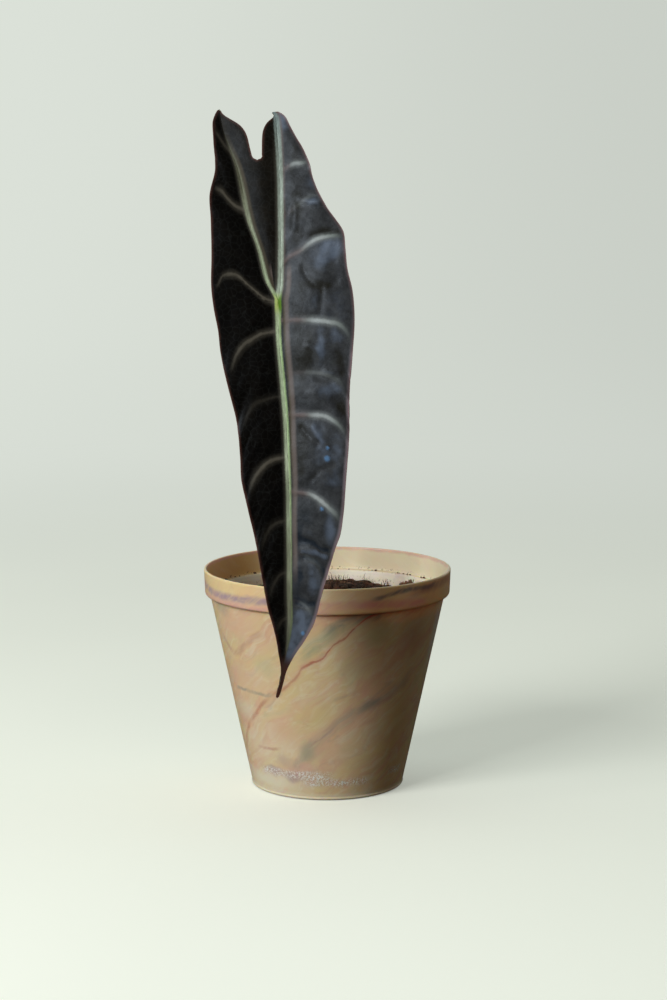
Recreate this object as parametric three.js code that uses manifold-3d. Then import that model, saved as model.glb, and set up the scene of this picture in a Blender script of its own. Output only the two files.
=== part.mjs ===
// A young Alocasia longiloba with one leaf, in a thin marbled plastic pot.
// Millimetres, +Z up. The origin is the middle of the pot's underside, and -Y is the front,
// the side to which the leaf hangs.
import * as THREE from 'three';
import { mergeVertices } from 'three/addons/utils/BufferGeometryUtils.js';
import Module from 'manifold-3d';

const wasm = await Module();
wasm.setup();

// Driving dimensions of the pot
const RIM_RADIUS = 65;
const POT_HEIGHT = 115.8;
const FOOT_RADIUS = 39.8;
const WALL = 1.4;
const COLLAR_HEIGHT = 13.6;
const COLLAR_STEP = 2.6;
const COLLAR_TAPER = 0.5;
const LEDGE_STEP = 2.4;
const BASE_THICKNESS = 1.8;
const BASE_RECESS = 0.9;
const HUB_RADIUS = 11;
const FOOT_RING = 4;
const BEAD = 0.6;
const POT_SIDES = 60;
const DRAIN_HOLES = 5;
const DRAIN_RADIUS = 4;
const DRAIN_CIRCLE = 25;

// Driving dimensions of the mix
const MIX_LEVEL = 97;
const MIX_SHOULDER = 3.5;
const GAP = 0.3;
const MIX_RINGS = 9;
const CRUMBS = 32;
const FIBRES = 28;

// Driving dimensions of the plant
const STEM_X = -12;
const STEM_Y = 8;
const RHIZOME_RADIUS = 7.5;
const RHIZOME_LENGTH = 34;
const RHIZOME_SCARS = 6;
const RHIZOME_TOP = MIX_LEVEL + 3.5;
const STALK_FOOT_RADIUS = 5;
const STALK_TOP_RADIUS = 2.1;
const SHEATH_SHARE = 0.34;

// Points that the stalk passes through on its way up to the blade, counted from its foot
const STALK_KNOTS = [[0, 0, -2], [-0.6, -1.5, 24], [-3, -12, 70], [-6.5, -36, 117], [-10, -66, 146]];

// Driving dimensions of the blade. A station is a distance down the blade from the junction,
// where the stalk meets it: the back lobes have stations below zero, and the drip tip the highest.
const JUNCTION = new THREE.Vector3(-23.5, -80, 260.7);
const JUNCTION_LEAN = THREE.MathUtils.degToRad(12);
const HANG_RADIUS = 790;
const DRIP_TIP = 194;
const LEFT_TIP = -94.6;
const RIGHT_TIP = -93.4;
const SINUS = -68.3;
const BLADE = 0.8;
const FOLD_LEFT = 0.42;
const FOLD_RIGHT = 0.36;
const FOLD_ROUND = 2;
const CURL = 0.004;
const QUILT = 1.2;
const WAVE = 1;
const VEIN_HALF_WIDTH = 1.4;
const FULL_WIDTH = 16;

// A smooth curve through [station, value] pairs, whose slope at a point is that between its
// neighbours.
function through(pairs) {
  const last = pairs.length - 1;
  const slope = (i) => {
    const a = pairs[Math.max(i - 1, 0)];
    const b = pairs[Math.min(i + 1, last)];
    return (b[1] - a[1]) / (b[0] - a[0]);
  };
  return (at) => {
    let i = 0;
    while (i < last - 1 && at > pairs[i + 1][0]) i += 1;
    const [s0, v0] = pairs[i];
    const [s1, v1] = pairs[i + 1];
    const span = s1 - s0;
    const t = THREE.MathUtils.clamp((at - s0) / span, 0, 1);
    const bend0 = slope(i) * span;
    const bend1 = slope(i + 1) * span;
    const rise = v1 - v0;
    const b = 3 * rise - 2 * bend0 - bend1;
    const c = bend0 + bend1 - 2 * rise;
    return v0 + t * (bend0 + t * (b + t * c));
  };
}

// The same seeded draws each time, each between 0 and 1.
function draws(seed) {
  let state = seed;
  return () => {
    state = (state * 1664525 + 1013904223) % 4294967296;
    return state / 4294967296;
  };
}

// A geometry as a solid that can be joined and cut.
function solidOf(geometry) {
  const bare = geometry.clone();
  bare.deleteAttribute('normal');
  bare.deleteAttribute('uv');
  const merged = mergeVertices(bare, 1e-4);
  const corners = merged.index.array;
  const triVerts = [];
  for (let i = 0; i < corners.length; i += 3) {
    const [a, b, c] = corners.slice(i, i + 3);
    if (a !== b && b !== c && c !== a) triVerts.push(a, b, c);
  }
  return new wasm.Manifold(new wasm.Mesh({
    numProp: 3,
    vertProperties: merged.getAttribute('position').array,
    triVerts: new Uint32Array(triVerts),
  }));
}

function geometryOf(solid) {
  const mesh = solid.getMesh();
  const geometry = new THREE.BufferGeometry();
  geometry.setAttribute('position', new THREE.BufferAttribute(mesh.vertProperties, 3));
  geometry.setIndex(new THREE.BufferAttribute(mesh.triVerts, 1));
  geometry.computeVertexNormals();
  return geometry;
}

// A body turned about +Z, from [radius, height] points that start and end on the axis.
function turned(profile, sides) {
  const points = profile.map(([r, z]) => new THREE.Vector2(r, z));
  return new THREE.LatheGeometry(points, sides).rotateX(Math.PI / 2);
}

// A closed body through a row of rings, each a list of the same number of points.
function lofted(rings) {
  const sides = rings[0].length;
  const positions = rings.flat().flatMap((p) => [p.x, p.y, p.z]);
  const index = [];
  for (let i = 0; i + 1 < rings.length; i += 1) {
    for (let k = 0; k < sides; k += 1) {
      const a = i * sides + k;
      const b = i * sides + ((k + 1) % sides);
      index.push(a, b, b + sides, a, b + sides, a + sides);
    }
  }
  const end = (rings.length - 1) * sides;
  for (let k = 1; k + 1 < sides; k += 1) {
    index.push(0, k + 1, k);
    index.push(end, end + k, end + k + 1);
  }
  const geometry = new THREE.BufferGeometry();
  geometry.setAttribute('position', new THREE.Float32BufferAttribute(positions, 3));
  geometry.setIndex(index);
  return geometry;
}

// The rings of a tube along a curve: radiusAt(share, angle) is its radius, and the angle is
// measured from the side that faces +X.
function tubeRings(curve, steps, sides, radiusAt) {
  const rings = [];
  for (let i = 0; i <= steps; i += 1) {
    const share = i / steps;
    const middle = curve.getPointAt(share);
    const along = curve.getTangentAt(share);
    const across = new THREE.Vector3(1, 0, 0).addScaledVector(along, -along.x).normalize();
    const up = new THREE.Vector3().crossVectors(along, across);
    const ring = [];
    for (let k = 0; k < sides; k += 1) {
      const angle = (2 * Math.PI * k) / sides;
      const radius = radiusAt(share, angle);
      ring.push(middle.clone()
        .addScaledVector(across, radius * Math.cos(angle))
        .addScaledVector(up, radius * Math.sin(angle)));
    }
    rings.push(ring);
  }
  return rings;
}

// The pot's wall
const SLOPE = (RIM_RADIUS - COLLAR_STEP - COLLAR_TAPER - FOOT_RADIUS) / (POT_HEIGHT - COLLAR_HEIGHT);
const COLLAR_FOOT = POT_HEIGHT - COLLAR_HEIGHT;
const LEDGE = COLLAR_FOOT + 1.3;

function outsideRadius(z) {
  return FOOT_RADIUS + SLOPE * z;
}

function insideRadius(z) {
  return outsideRadius(z) - WALL;
}

function potGeometry() {
  const collar = RIM_RADIUS - COLLAR_TAPER;
  const body = outsideRadius(COLLAR_FOOT);
  const inner = RIM_RADIUS - WALL;
  const floor = BASE_THICKNESS;
  const profile = [
    [0, 0], [HUB_RADIUS, 0], [HUB_RADIUS + 1.5, BASE_RECESS],
    [FOOT_RADIUS - FOOT_RING - 1.5, BASE_RECESS], [FOOT_RADIUS - FOOT_RING, 0],
    [FOOT_RADIUS - 0.8, 0], [FOOT_RADIUS + 0.4 * BEAD, 0.4], [FOOT_RADIUS + BEAD, 1.1],
    [FOOT_RADIUS + 0.6 * BEAD, 1.8], [outsideRadius(2.6), 2.6],
    [body, COLLAR_FOOT], [collar - 1.2, COLLAR_FOOT], [collar - 0.35, COLLAR_FOOT + 0.35],
    [collar, COLLAR_FOOT + 1.2], [RIM_RADIUS, POT_HEIGHT - 0.5], [RIM_RADIUS - 0.35, POT_HEIGHT],
    [inner + 0.3, POT_HEIGHT], [inner, POT_HEIGHT - 0.5],
    [insideRadius(LEDGE) + LEDGE_STEP, LEDGE + 0.6], [insideRadius(LEDGE) + LEDGE_STEP - 0.5, LEDGE],
    [insideRadius(LEDGE), LEDGE], [insideRadius(floor + 2), floor + 2],
    [insideRadius(floor) - 2, floor], [0, floor],
  ];
  let pot = solidOf(turned(profile, POT_SIDES));
  for (let i = 0; i < DRAIN_HOLES; i += 1) {
    const angle = (2 * Math.PI * (i + 0.5)) / DRAIN_HOLES;
    const drill = new THREE.CylinderGeometry(DRAIN_RADIUS, DRAIN_RADIUS, 20, 20)
      .rotateX(Math.PI / 2)
      .translate(DRAIN_CIRCLE * Math.cos(angle), DRAIN_CIRCLE * Math.sin(angle), 0);
    pot = pot.subtract(solidOf(drill));
  }
  return geometryOf(pot);
}

// The mix's uneven top, as a height over the pot's underside
function mixTop(x, y) {
  const lumps = 1.1 * Math.sin(0.21 * x + 0.6) * Math.cos(0.17 * y + 1.1);
  const small = 0.7 * Math.sin(0.47 * x - 0.31 * y + 2) * Math.cos(0.39 * y + 0.22 * x);
  const bank = 1.6 * Math.exp(-((x - 4) ** 2 + (y - 44) ** 2) / 300);
  const dip = 1.5 * Math.exp(-((x - 34) ** 2 + (y - 20) ** 2) / 500);
  return MIX_LEVEL + lumps + small + bank - dip;
}

// The rhizome's outline, with ring scars, swollen by `more` for the hole that it stands in
function rhizomeProfile(more) {
  const foot = RHIZOME_TOP - RHIZOME_LENGTH;
  const points = [[0, foot - more], [RHIZOME_RADIUS * 0.6 + more, foot - more]];
  for (let i = 0; i <= 2 * RHIZOME_SCARS; i += 1) {
    const share = i / (2 * RHIZOME_SCARS);
    const waist = i % 2 === 0 ? 0.6 : 0;
    const belly = 1 - 0.22 * (2 * share - 1.1) ** 2;
    const z = foot + 2.5 + share * (RHIZOME_LENGTH - 5);
    points.push([RHIZOME_RADIUS * belly - waist + more, z]);
  }
  return points;
}

function rhizomeGeometry() {
  const shoulder = STALK_FOOT_RADIUS + 0.8;
  return turned([...rhizomeProfile(0), [shoulder, RHIZOME_TOP], [0, RHIZOME_TOP]], 20);
}

// One chip, crumb or fibre at a time is joined to the mix, sunk in by its root.
function mixGeometry() {
  const floor = BASE_THICKNESS + GAP;
  const shoulder = MIX_LEVEL - MIX_SHOULDER;
  const edge = insideRadius(shoulder) - 1.1 * GAP;
  const low = insideRadius(floor + 2) - 2 * GAP;
  const profile = [[0, floor], [low - 2, floor], [low, floor + 2], [edge, shoulder]];
  for (let i = MIX_RINGS; i >= 0; i -= 1) {
    const share = i / MIX_RINGS;
    profile.push([(edge - 0.2) * share, MIX_LEVEL]);
  }
  const heap = turned(profile, POT_SIDES);
  const at = heap.getAttribute('position');
  for (let i = 0; i < at.count; i += 1) {
    if (at.getZ(i) > MIX_LEVEL - 1) at.setZ(i, mixTop(at.getX(i), at.getY(i)));
  }
  let mix = solidOf(heap);

  const draw = draws(41);
  const spot = (reach) => {
    const angle = 2 * Math.PI * draw();
    const radius = reach * Math.sqrt(draw());
    return [radius * Math.cos(angle), radius * Math.sin(angle)];
  };
  const clearOfStem = (x, y, margin) => Math.hypot(x - STEM_X, y - STEM_Y) > RHIZOME_RADIUS + margin;
  const clearOfChip = (x, y, margin) => Math.hypot(x - CHIP_X, y - CHIP_Y) > CHIP_LENGTH / 2 + margin;

  for (let placed = 0; placed < CRUMBS;) {
    const size = 1.3 + 2.4 * draw() ** 2;
    const [x, y] = spot(edge - 4.5);
    const stretch = [1 + 0.5 * draw(), 0.7 + 0.3 * draw(), 0.55 + 0.25 * draw()];
    const turn = [Math.PI * draw(), Math.PI * draw()];
    if (clearOfStem(x, y, 2 * size + 1) && clearOfChip(x, y, 2 * size + 1)) {
      const crumb = new THREE.IcosahedronGeometry(size, 0)
        .scale(...stretch)
        .rotateX(turn[0])
        .rotateZ(turn[1])
        .translate(x, y, mixTop(x, y) + 0.1 * size);
      mix = mix.add(solidOf(crumb));
      placed += 1;
    }
  }

  for (let placed = 0; placed < FIBRES;) {
    const [x, y] = spot(edge - 9);
    const heading = 2 * Math.PI * draw();
    const height = 3 + 4.5 * draw();
    const lean = 1 + 3.5 * draw();
    const sway = 2.5 * (draw() - 0.5);
    if (clearOfStem(x, y, 7) && clearOfChip(x, y, 7)) {
      const root = mixTop(x, y) - 1.5;
      const out = (share, side) => new THREE.Vector3(
        x + Math.cos(heading) * lean * share - Math.sin(heading) * side,
        y + Math.sin(heading) * lean * share + Math.cos(heading) * side,
        root + (height + 1.5) * share,
      );
      const curve = new THREE.CatmullRomCurve3([out(0, 0), out(0.5, sway), out(1, 0)]);
      const fibre = lofted(tubeRings(curve, 3, 3, (share) => 0.55 - 0.15 * share));
      mix = mix.add(solidOf(fibre));
      placed += 1;
    }
  }

  const room = GAP + 0.1;
  const top = RHIZOME_TOP + 20;
  const hole = [...rhizomeProfile(room), [RHIZOME_RADIUS + room, top], [0, top]];
  mix = mix.subtract(solidOf(turned(hole, 20).translate(STEM_X, STEM_Y, 0)));
  return geometryOf(mix);
}

// The husk chip: a flat wedge with a ragged upper edge, which leans on the wall
const CHIP_X = 42;
const CHIP_Y = 33;
const CHIP_LENGTH = 9.5;
const CHIP_HEIGHT = 6;
const CHIP_THICKNESS = 2.6;

function chipGeometry() {
  const outline = new THREE.Shape();
  const teeth = 5;
  outline.moveTo(-CHIP_LENGTH / 2, 0);
  outline.lineTo(CHIP_LENGTH / 2, 0);
  for (let i = 0; i <= teeth; i += 1) {
    const share = i / teeth;
    const tall = CHIP_HEIGHT * (1 - 0.55 * share) - (i % 2 === 0 ? 0 : 1.1);
    outline.lineTo(CHIP_LENGTH * (0.5 - 0.95 * share), tall);
  }
  const toWall = Math.atan2(CHIP_Y, CHIP_X);
  return new THREE.ExtrudeGeometry(outline, {
    depth: CHIP_THICKNESS - 0.8,
    bevelThickness: 0.4,
    bevelSize: 0.4,
    bevelSegments: 1,
  })
    .rotateX(Math.PI / 2 + 0.22)
    .rotateZ(toWall - Math.PI / 2);
}

// Lines of the blade, each an offset to +X from the junction at a station
const midrib = through([
  [0, 0], [20, 0.6], [58, 3.9], [116, 5.8], [150, 5.9], [163, 5], [171, 3.6], [180, 1.9],
  [187, 0.8], [193, -0.6], [DRIP_TIP, -0.8],
]);
const leftCosta = through([
  [LEFT_TIP, -29], [-83, -26.8], [-65, -20.1], [-39, -14.2], [-23, -9], [-8, -5], [0, 0],
]);
const rightCosta = through([
  [RIGHT_TIP, -2.9], [-92.5, -2.2], [-90, -1.3], [-75, 0], [-55, 1], [-8, 1.2], [0, 0],
]);
const leftEdge = through([
  [LEFT_TIP, -29], [-94.3, -29.8], [-93.6, -30.3], [-92, -31], [-88, -32], [-81, -31.7],
  [-75, -31.4], [-68, -30.7], [-62, -30.7], [-50, -33], [-38, -32.4], [-20, -31.9], [-5, -31.9],
  [6, -30.5], [16, -28.5], [25, -27.6], [34, -25.9], [43, -23.7], [52, -21.3], [58, -19.9],
  [66, -18.8], [76, -18], [86, -17.6], [96, -15.5], [104, -13.6], [118, -10.5], [134, -7.7],
  [148, -5.2], [163, -1.3], [172, 0.1], [180, 1.1], [187, 0.3], [193, -1.4], [DRIP_TIP, -0.8],
]);
const rightEdge = through([
  [RIGHT_TIP, -2.9], [-93.3, -0.6], [-92.9, 0.7], [-91.9, 2.2], [-90.4, 3.5], [-87, 5.2],
  [-80, 8.7], [-74, 12.1], [-66, 15.2], [-60, 16.6], [-53, 19.1], [-45, 23.1], [-38, 28],
  [-32, 31.6], [-24, 32.5], [-14, 33.5], [-4, 35.9], [8, 36.9], [20, 36.5], [45, 34.5],
  [62, 34.4], [72, 34], [84, 33], [98, 32.1], [107, 31.1], [113, 30], [119, 27.9], [140, 21.7],
  [155, 17.8], [165, 12.7], [172, 8.2], [180, 4.1], [187, 2.2], [193, 0.3], [DRIP_TIP, -0.8],
]);
const leftInnerEdge = through([
  [LEFT_TIP, -29], [-94.3, -28.2], [-93.6, -27.7], [-92.3, -26.6], [-91, -25], [-86.5, -18.7],
  [-82, -15.6], [-74, -13.5], [SINUS - 1, -12], [SINUS, -10],
]);
const rightInnerEdge = through([
  [RIGHT_TIP, -2.9], [-92.8, -3.2], [-91.9, -2.5], [-90.8, -2.6], [-87, -6], [-82, -7.8],
  [-71, -8.1], [SINUS - 1, -8.1], [SINUS, -10],
]);

// How far down or up the blade a row has run when it reaches the edge
const leftRun = through([
  [LEFT_TIP, 0], [-80, -9], [-43, -13], [-2, -10], [16, 22], [46, 24], [76, 22], [120, 16],
  [165, 5], [DRIP_TIP, 0],
]);
const rightRun = through([
  [RIGHT_TIP, 0], [-80, -5], [-61, -6], [-17, -12], [10, 12], [57, 9.5], [94, 13], [125, 13],
  [165, 5], [DRIP_TIP, 0],
]);

// How late a row turns down in front of the junction, and how early it turns up in the lobes
const leftLate = () => 3;
const rightLate = through([[0, 6], [57, 8], [94, 3], [DRIP_TIP, 3]]);
const leftEarly = through([[LEFT_TIP, 1], [-43, 0.8], [-2, 2], [0, 2]]);
const rightEarly = () => 2;

// Stations at which a side vein leaves its rib, with the vein's strength
const LEFT_VEINS = [[-70, 0.15], [-43, 1], [-2, 1], [16, 1], [46, 0.2], [76, 1], [106, 0.3],
  [132, 0.3], [154, 0.3]];
const RIGHT_VEINS = [[-61, 1], [-39, 0.15], [-17, 1], [10, 1], [36, 0.2], [57, 1], [94, 1],
  [121, 0.3], [145, 0.3]];

// The two halves of the blade. Each is a fold that rises from the ribs to the edge.
const HALVES = {
  left: {
    tip: LEFT_TIP,
    costa: leftCosta,
    edge: leftEdge,
    run: leftRun,
    late: leftLate,
    early: leftEarly,
    veins: LEFT_VEINS,
    fold: FOLD_LEFT,
  },
  right: {
    tip: RIGHT_TIP,
    costa: rightCosta,
    edge: rightEdge,
    run: rightRun,
    late: rightLate,
    early: rightEarly,
    veins: RIGHT_VEINS,
    fold: FOLD_RIGHT,
  },
};

// How far a station lies between its two neighbouring side veins, from 0 to 1 for each field
function fieldShare(half, station) {
  const stops = [half.tip, ...half.veins.map((v) => v[0]), DRIP_TIP];
  let i = 0;
  while (i < stops.length - 2 && station > stops[i + 1]) i += 1;
  return (station - stops[i]) / (stops[i + 1] - stops[i]);
}

function rounded(distance) {
  return Math.hypot(distance, FOLD_ROUND) - FOLD_ROUND;
}

// The ribs' half width and height, which shrink from the junction to the tips
function ribSize(station) {
  const away = station > 0 ? station / DRIP_TIP : (1.15 * station) / LEFT_TIP;
  return Math.max(1 - away, 0);
}

// A point of an outer half: the row leaves the rib at `station`, and `share` is 0 at the rib
// and 1 at the edge. It holds the middle of the blade's thickness and what the veins add.
function halfPoint(half, station, share) {
  const rib = station > 0 ? midrib(station) : half.costa(station);
  const reach = half.run(station);
  const edge = half.edge(station + reach);
  const inFront = THREE.MathUtils.smoothstep(station, -10, 10);
  const turnsDown = share ** half.late(station);
  const turnsUp = 1 - (1 - share) ** half.early(station);
  const bend = inFront * turnsDown + (1 - inFront) * turnsUp;
  const x = rib + (edge - rib) * share;
  const width = Math.abs(edge - rib);
  const distance = width * share;
  const field = fieldShare(half, station);
  const taper = Math.min(width / FULL_WIDTH, 1);
  const puff = Math.sin(Math.PI * field) ** 2 * Math.sin(Math.PI * share ** 0.8);
  const wave = Math.sin(2 * Math.PI * field + 0.8) * share ** 3;
  const rise = half.fold * rounded(distance) - CURL * distance ** 2
    + taper * (QUILT * puff + WAVE * wave);
  let vein = 0;
  for (const [from, strength] of half.veins) {
    const off = (station - from) / VEIN_HALF_WIDTH;
    vein += strength * Math.exp(-off * off) * (1 - share ** 4);
  }
  return { x, station: station + reach * bend, rise, ...thickness(distance, station, vein * taper) };
}

// A point of the web between the two costae, at `share` from the left one to the right one.
// Past the sinus the two lobes part there, and `lobe` says which one the point is on.
function webPoint(station, share, lobe) {
  const leftStation = (station * LEFT_TIP) / RIGHT_TIP;
  const left = leftCosta(leftStation);
  const right = rightCosta(station);
  let x = left + (right - left) * share;
  if (station < SINUS && lobe === 'left') x = left + (leftInnerEdge(leftStation) - left) * 2 * share;
  if (station < SINUS && lobe === 'right') x = right - (right - rightInnerEdge(station)) * 2 * (1 - share);
  const fromLeft = x - left;
  const fromRight = right - x;
  const rise = (FOLD_LEFT * fromLeft * fromRight) / (fromLeft + fromRight);
  const distance = Math.min(fromLeft, fromRight);
  const at = lobe === 'left' ? leftStation : station;
  return { x, station: at + (station - at) * share, rise, ...thickness(distance, station, 0) };
}

// What the ribs and veins add in front of the blade and behind it
function thickness(distance, station, vein) {
  const size = ribSize(station);
  const halfWidth = 0.9 + 1.3 * size;
  const rib = Math.exp(-((distance / halfWidth) ** 2));
  const boss = Math.exp(-(distance ** 2 + station ** 2) / 18);
  return {
    front: BLADE / 2 + rib * (0.15 + 0.45 * size) + 0.25 * vein + 0.3 * boss,
    back: BLADE / 2 + rib * (0.25 + 1.6 * size) + 0.6 * vein + 1.2 * boss,
  };
}

// A point of the blade in the part's frame, `rise` towards the front of the hanging blade
function placed(x, station, rise) {
  const lean = JUNCTION_LEAN - station / HANG_RADIUS;
  const y = JUNCTION.y - HANG_RADIUS * (Math.cos(lean) - Math.cos(JUNCTION_LEAN));
  const z = JUNCTION.z + HANG_RADIUS * (Math.sin(lean) - Math.sin(JUNCTION_LEAN));
  return new THREE.Vector3(JUNCTION.x + x, y - rise * Math.cos(lean), z + rise * Math.sin(lean));
}

// Stations of evenly spaced rows, with the nearest row moved onto each vein, and rows of its own
// at each of the `added` stations, where the edge turns sharply
function rowStations(from, to, count, veins, added) {
  const rows = [];
  for (let i = 0; i <= count; i += 1) rows.push(from + ((to - from) * i) / count);
  for (const [at] of veins) {
    let best = 1;
    for (let i = 1; i < count; i += 1) {
      if (Math.abs(rows[i] - at) < Math.abs(rows[best] - at)) best = i;
    }
    if (at > from && at < to) rows[best] = at;
  }
  return [...rows, ...added].sort((a, b) => a - b);
}

const SHARES = [0, 0.055, 0.13, 0.24, 0.37, 0.51, 0.65, 0.78, 0.9, 1];
const WEB_COLUMNS = 8;
const LOBE_ROWS = 27;
const FRONT_ROWS = 54;

// The blade: a mesh of plan points, given a front and a back that are split alike.
function bladeGeometry() {
  const positions = [];
  const faces = [];
  const put = (point) => {
    const front = placed(point.x, point.station, point.rise + point.front);
    const back = placed(point.x, point.station, point.rise - point.back);
    positions.push(...front.toArray(), ...back.toArray());
    return positions.length / 6 - 1;
  };
  const face = (a, b, c) => {
    if (a !== b && b !== c && c !== a) faces.push([a, b, c]);
  };
  // Joins two rows of points, the second one lower on the blade, from left to right.
  const strip = (upper, lower) => {
    for (let k = 0; k + 1 < upper.length; k += 1) {
      if (k % 2 === 0) {
        face(upper[k], lower[k], lower[k + 1]);
        face(upper[k], lower[k + 1], upper[k + 1]);
      } else {
        face(upper[k], lower[k], upper[k + 1]);
        face(upper[k + 1], lower[k], lower[k + 1]);
      }
    }
  };

  const veins = [...LEFT_VEINS, ...RIGHT_VEINS];
  const lobeEnds = [RIGHT_TIP + 0.4, RIGHT_TIP + 1.4, SINUS - 1];
  const lobeRows = rowStations(RIGHT_TIP, 0, LOBE_ROWS, [...veins, [SINUS]], lobeEnds);
  const frontRows = rowStations(0, DRIP_TIP, FRONT_ROWS, veins, [DRIP_TIP - 1]);
  const last = lobeRows.length - 1;
  const spine = frontRows.map((station) => put(halfPoint(HALVES.left, station, 0)));
  const costae = {
    left: lobeRows.map((s) => put(webPoint(s, 0, 'left'))),
    right: lobeRows.map((s) => put(webPoint(s, 1, 'right'))),
  };
  costae.left[last] = spine[0];
  costae.right[last] = spine[0];

  // The outer halves, each a grid from its ribs to its edge
  for (const [name, half] of Object.entries(HALVES)) {
    const tip = name === 'left' ? LEFT_TIP / RIGHT_TIP : 1;
    const ribs = [...costae[name], ...spine.slice(1)];
    const stations = [...lobeRows.map((s) => s * tip), ...frontRows.slice(1)];
    const rows = ribs.map((rib, i) => SHARES.map((share, k) => {
      if (k === 0 || i === 0 || i === ribs.length - 1) return rib;
      return put(halfPoint(half, stations[i], share));
    }));
    if (name === 'left') rows.forEach((row) => row.reverse());
    for (let i = 0; i + 1 < rows.length; i += 1) strip(rows[i], rows[i + 1]);
  }

  // The web between the costae, parted by the sinus
  const middle = WEB_COLUMNS / 2;
  const web = lobeRows.map((station, i) => {
    const whole = station >= SINUS;
    const inner = (k, lobe) => put(webPoint(station, k / WEB_COLUMNS, lobe));
    const row = { left: [costae.left[i]], right: [] };
    for (let k = 1; k <= middle; k += 1) row.left.push(i === 0 ? costae.left[0] : inner(k, 'left'));
    row.right.push(whole ? row.left[middle] : i === 0 ? costae.right[0] : inner(middle, 'right'));
    for (let k = middle + 1; k < WEB_COLUMNS; k += 1) {
      row.right.push(i === 0 ? costae.right[0] : inner(k, 'right'));
    }
    row.right.push(costae.right[i]);
    return row;
  });
  web[last] = { left: Array(middle + 1).fill(spine[0]), right: Array(middle + 1).fill(spine[0]) };
  for (let i = 0; i + 1 < web.length; i += 1) {
    strip(web[i].left, web[i + 1].left);
    strip(web[i].right, web[i + 1].right);
  }

  // Front faces as they are, back faces turned round, and a wall along each open edge
  const index = [];
  const open = new Map();
  for (const [a, b, c] of faces) {
    index.push(2 * a, 2 * b, 2 * c, 2 * a + 1, 2 * c + 1, 2 * b + 1);
    for (const [p, q] of [[a, b], [b, c], [c, a]]) {
      if (!open.delete(`${q} ${p}`)) open.set(`${p} ${q}`, [p, q]);
    }
  }
  for (const [p, q] of open.values()) {
    index.push(2 * q, 2 * p, 2 * p + 1, 2 * q, 2 * p + 1, 2 * q + 1);
  }
  const geometry = new THREE.BufferGeometry();
  geometry.setAttribute('position', new THREE.Float32BufferAttribute(positions, 3));
  geometry.setIndex(index);
  geometry.computeVertexNormals();
  return geometry;
}

// The stalk: round, thicker at its foot, where the open sheath makes two low wings on the side
// that faces the leaf. Its foot is cut level and its top is cut to the back of the blade.
function stalkGeometry(blade) {
  const foot = RHIZOME_TOP + GAP;
  const knots = STALK_KNOTS.map(([x, y, z]) => new THREE.Vector3(STEM_X + x, STEM_Y + y, foot + z));
  const curve = new THREE.CatmullRomCurve3([...knots, placed(0, 0, -1)]);
  const taper = through([
    [0, STALK_FOOT_RADIUS], [0.12, STALK_FOOT_RADIUS - 0.4], [SHEATH_SHARE, STALK_FOOT_RADIUS - 1.5],
    [0.7, STALK_TOP_RADIUS + 0.5], [0.95, STALK_TOP_RADIUS], [1, STALK_TOP_RADIUS + 0.5],
  ]);
  const radiusAt = (share, angle) => {
    const sheath = THREE.MathUtils.smoothstep(SHEATH_SHARE - share, 0, SHEATH_SHARE * 0.8)
      * THREE.MathUtils.smoothstep(share, 0, 0.07);
    const front = Math.abs(angle - (3 * Math.PI) / 2);
    const groove = Math.exp(-((front / 0.3) ** 2));
    const wings = Math.exp(-(((front - 0.75) / 0.24) ** 2));
    return taper(share) * (1 + sheath * (0.3 * wings - 0.32 * groove));
  };
  const stalk = solidOf(lofted(tubeRings(curve, 30, 18, radiusAt)));
  const level = new THREE.CylinderGeometry(15, 15, 10, 8)
    .rotateX(Math.PI / 2)
    .translate(STEM_X, STEM_Y, foot - 5);
  const behind = solidOf(blade);
  const off = placed(0, 0, 0).sub(placed(0, 0, GAP));
  const cut = stalk.subtract(solidOf(level)).subtract(behind.translate(off.toArray()));
  return geometryOf(cut.subtract(behind));
}

// Materials
const material = (color, roughness) => new THREE.MeshStandardMaterial({
  color,
  roughness,
  metalness: 0,
});
const MARBLED = material(0xd3b188, 0.42);
const MIX = material(0x2a1a13, 0.95);
const HUSK = material(0x8a5a34, 0.9);
const BARK = material(0x6d5a3c, 0.8);
const STALK = material(0x7a8455, 0.45);
const LEAF = material(0x23262a, 0.35);

function piece(name, geometry, look) {
  const mesh = new THREE.Mesh(geometry, look);
  mesh.name = name;
  return mesh;
}

const pot = piece('pot', potGeometry(), MARBLED);
const mix = piece('potting_mix', mixGeometry(), MIX);
const chip = piece('husk_chip', chipGeometry(), HUSK);
chip.position.set(CHIP_X, CHIP_Y, mixTop(CHIP_X, CHIP_Y) + 1.2);
const rhizome = piece('rhizome', rhizomeGeometry(), BARK);
rhizome.position.set(STEM_X, STEM_Y, 0);
const bladeShape = bladeGeometry();
const blade = piece('leaf_blade', bladeShape, LEAF);
const stalk = piece('petiole', stalkGeometry(bladeShape), STALK);

const plant = new THREE.Group();
plant.add(rhizome, stalk, blade);
const group = new THREE.Group();
group.add(pot, mix, chip, plant);

export default group;
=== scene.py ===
"""The looks of a young Alocasia longiloba with one leaf, in a thin marbled plastic pot.

The forms are worked out in millimetres, by the same lines as the frame, and placed in metres.
-Y is the front, the side to which the leaf hangs.
"""

import math
import random

import bpy
import numpy as np
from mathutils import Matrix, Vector, noise


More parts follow.
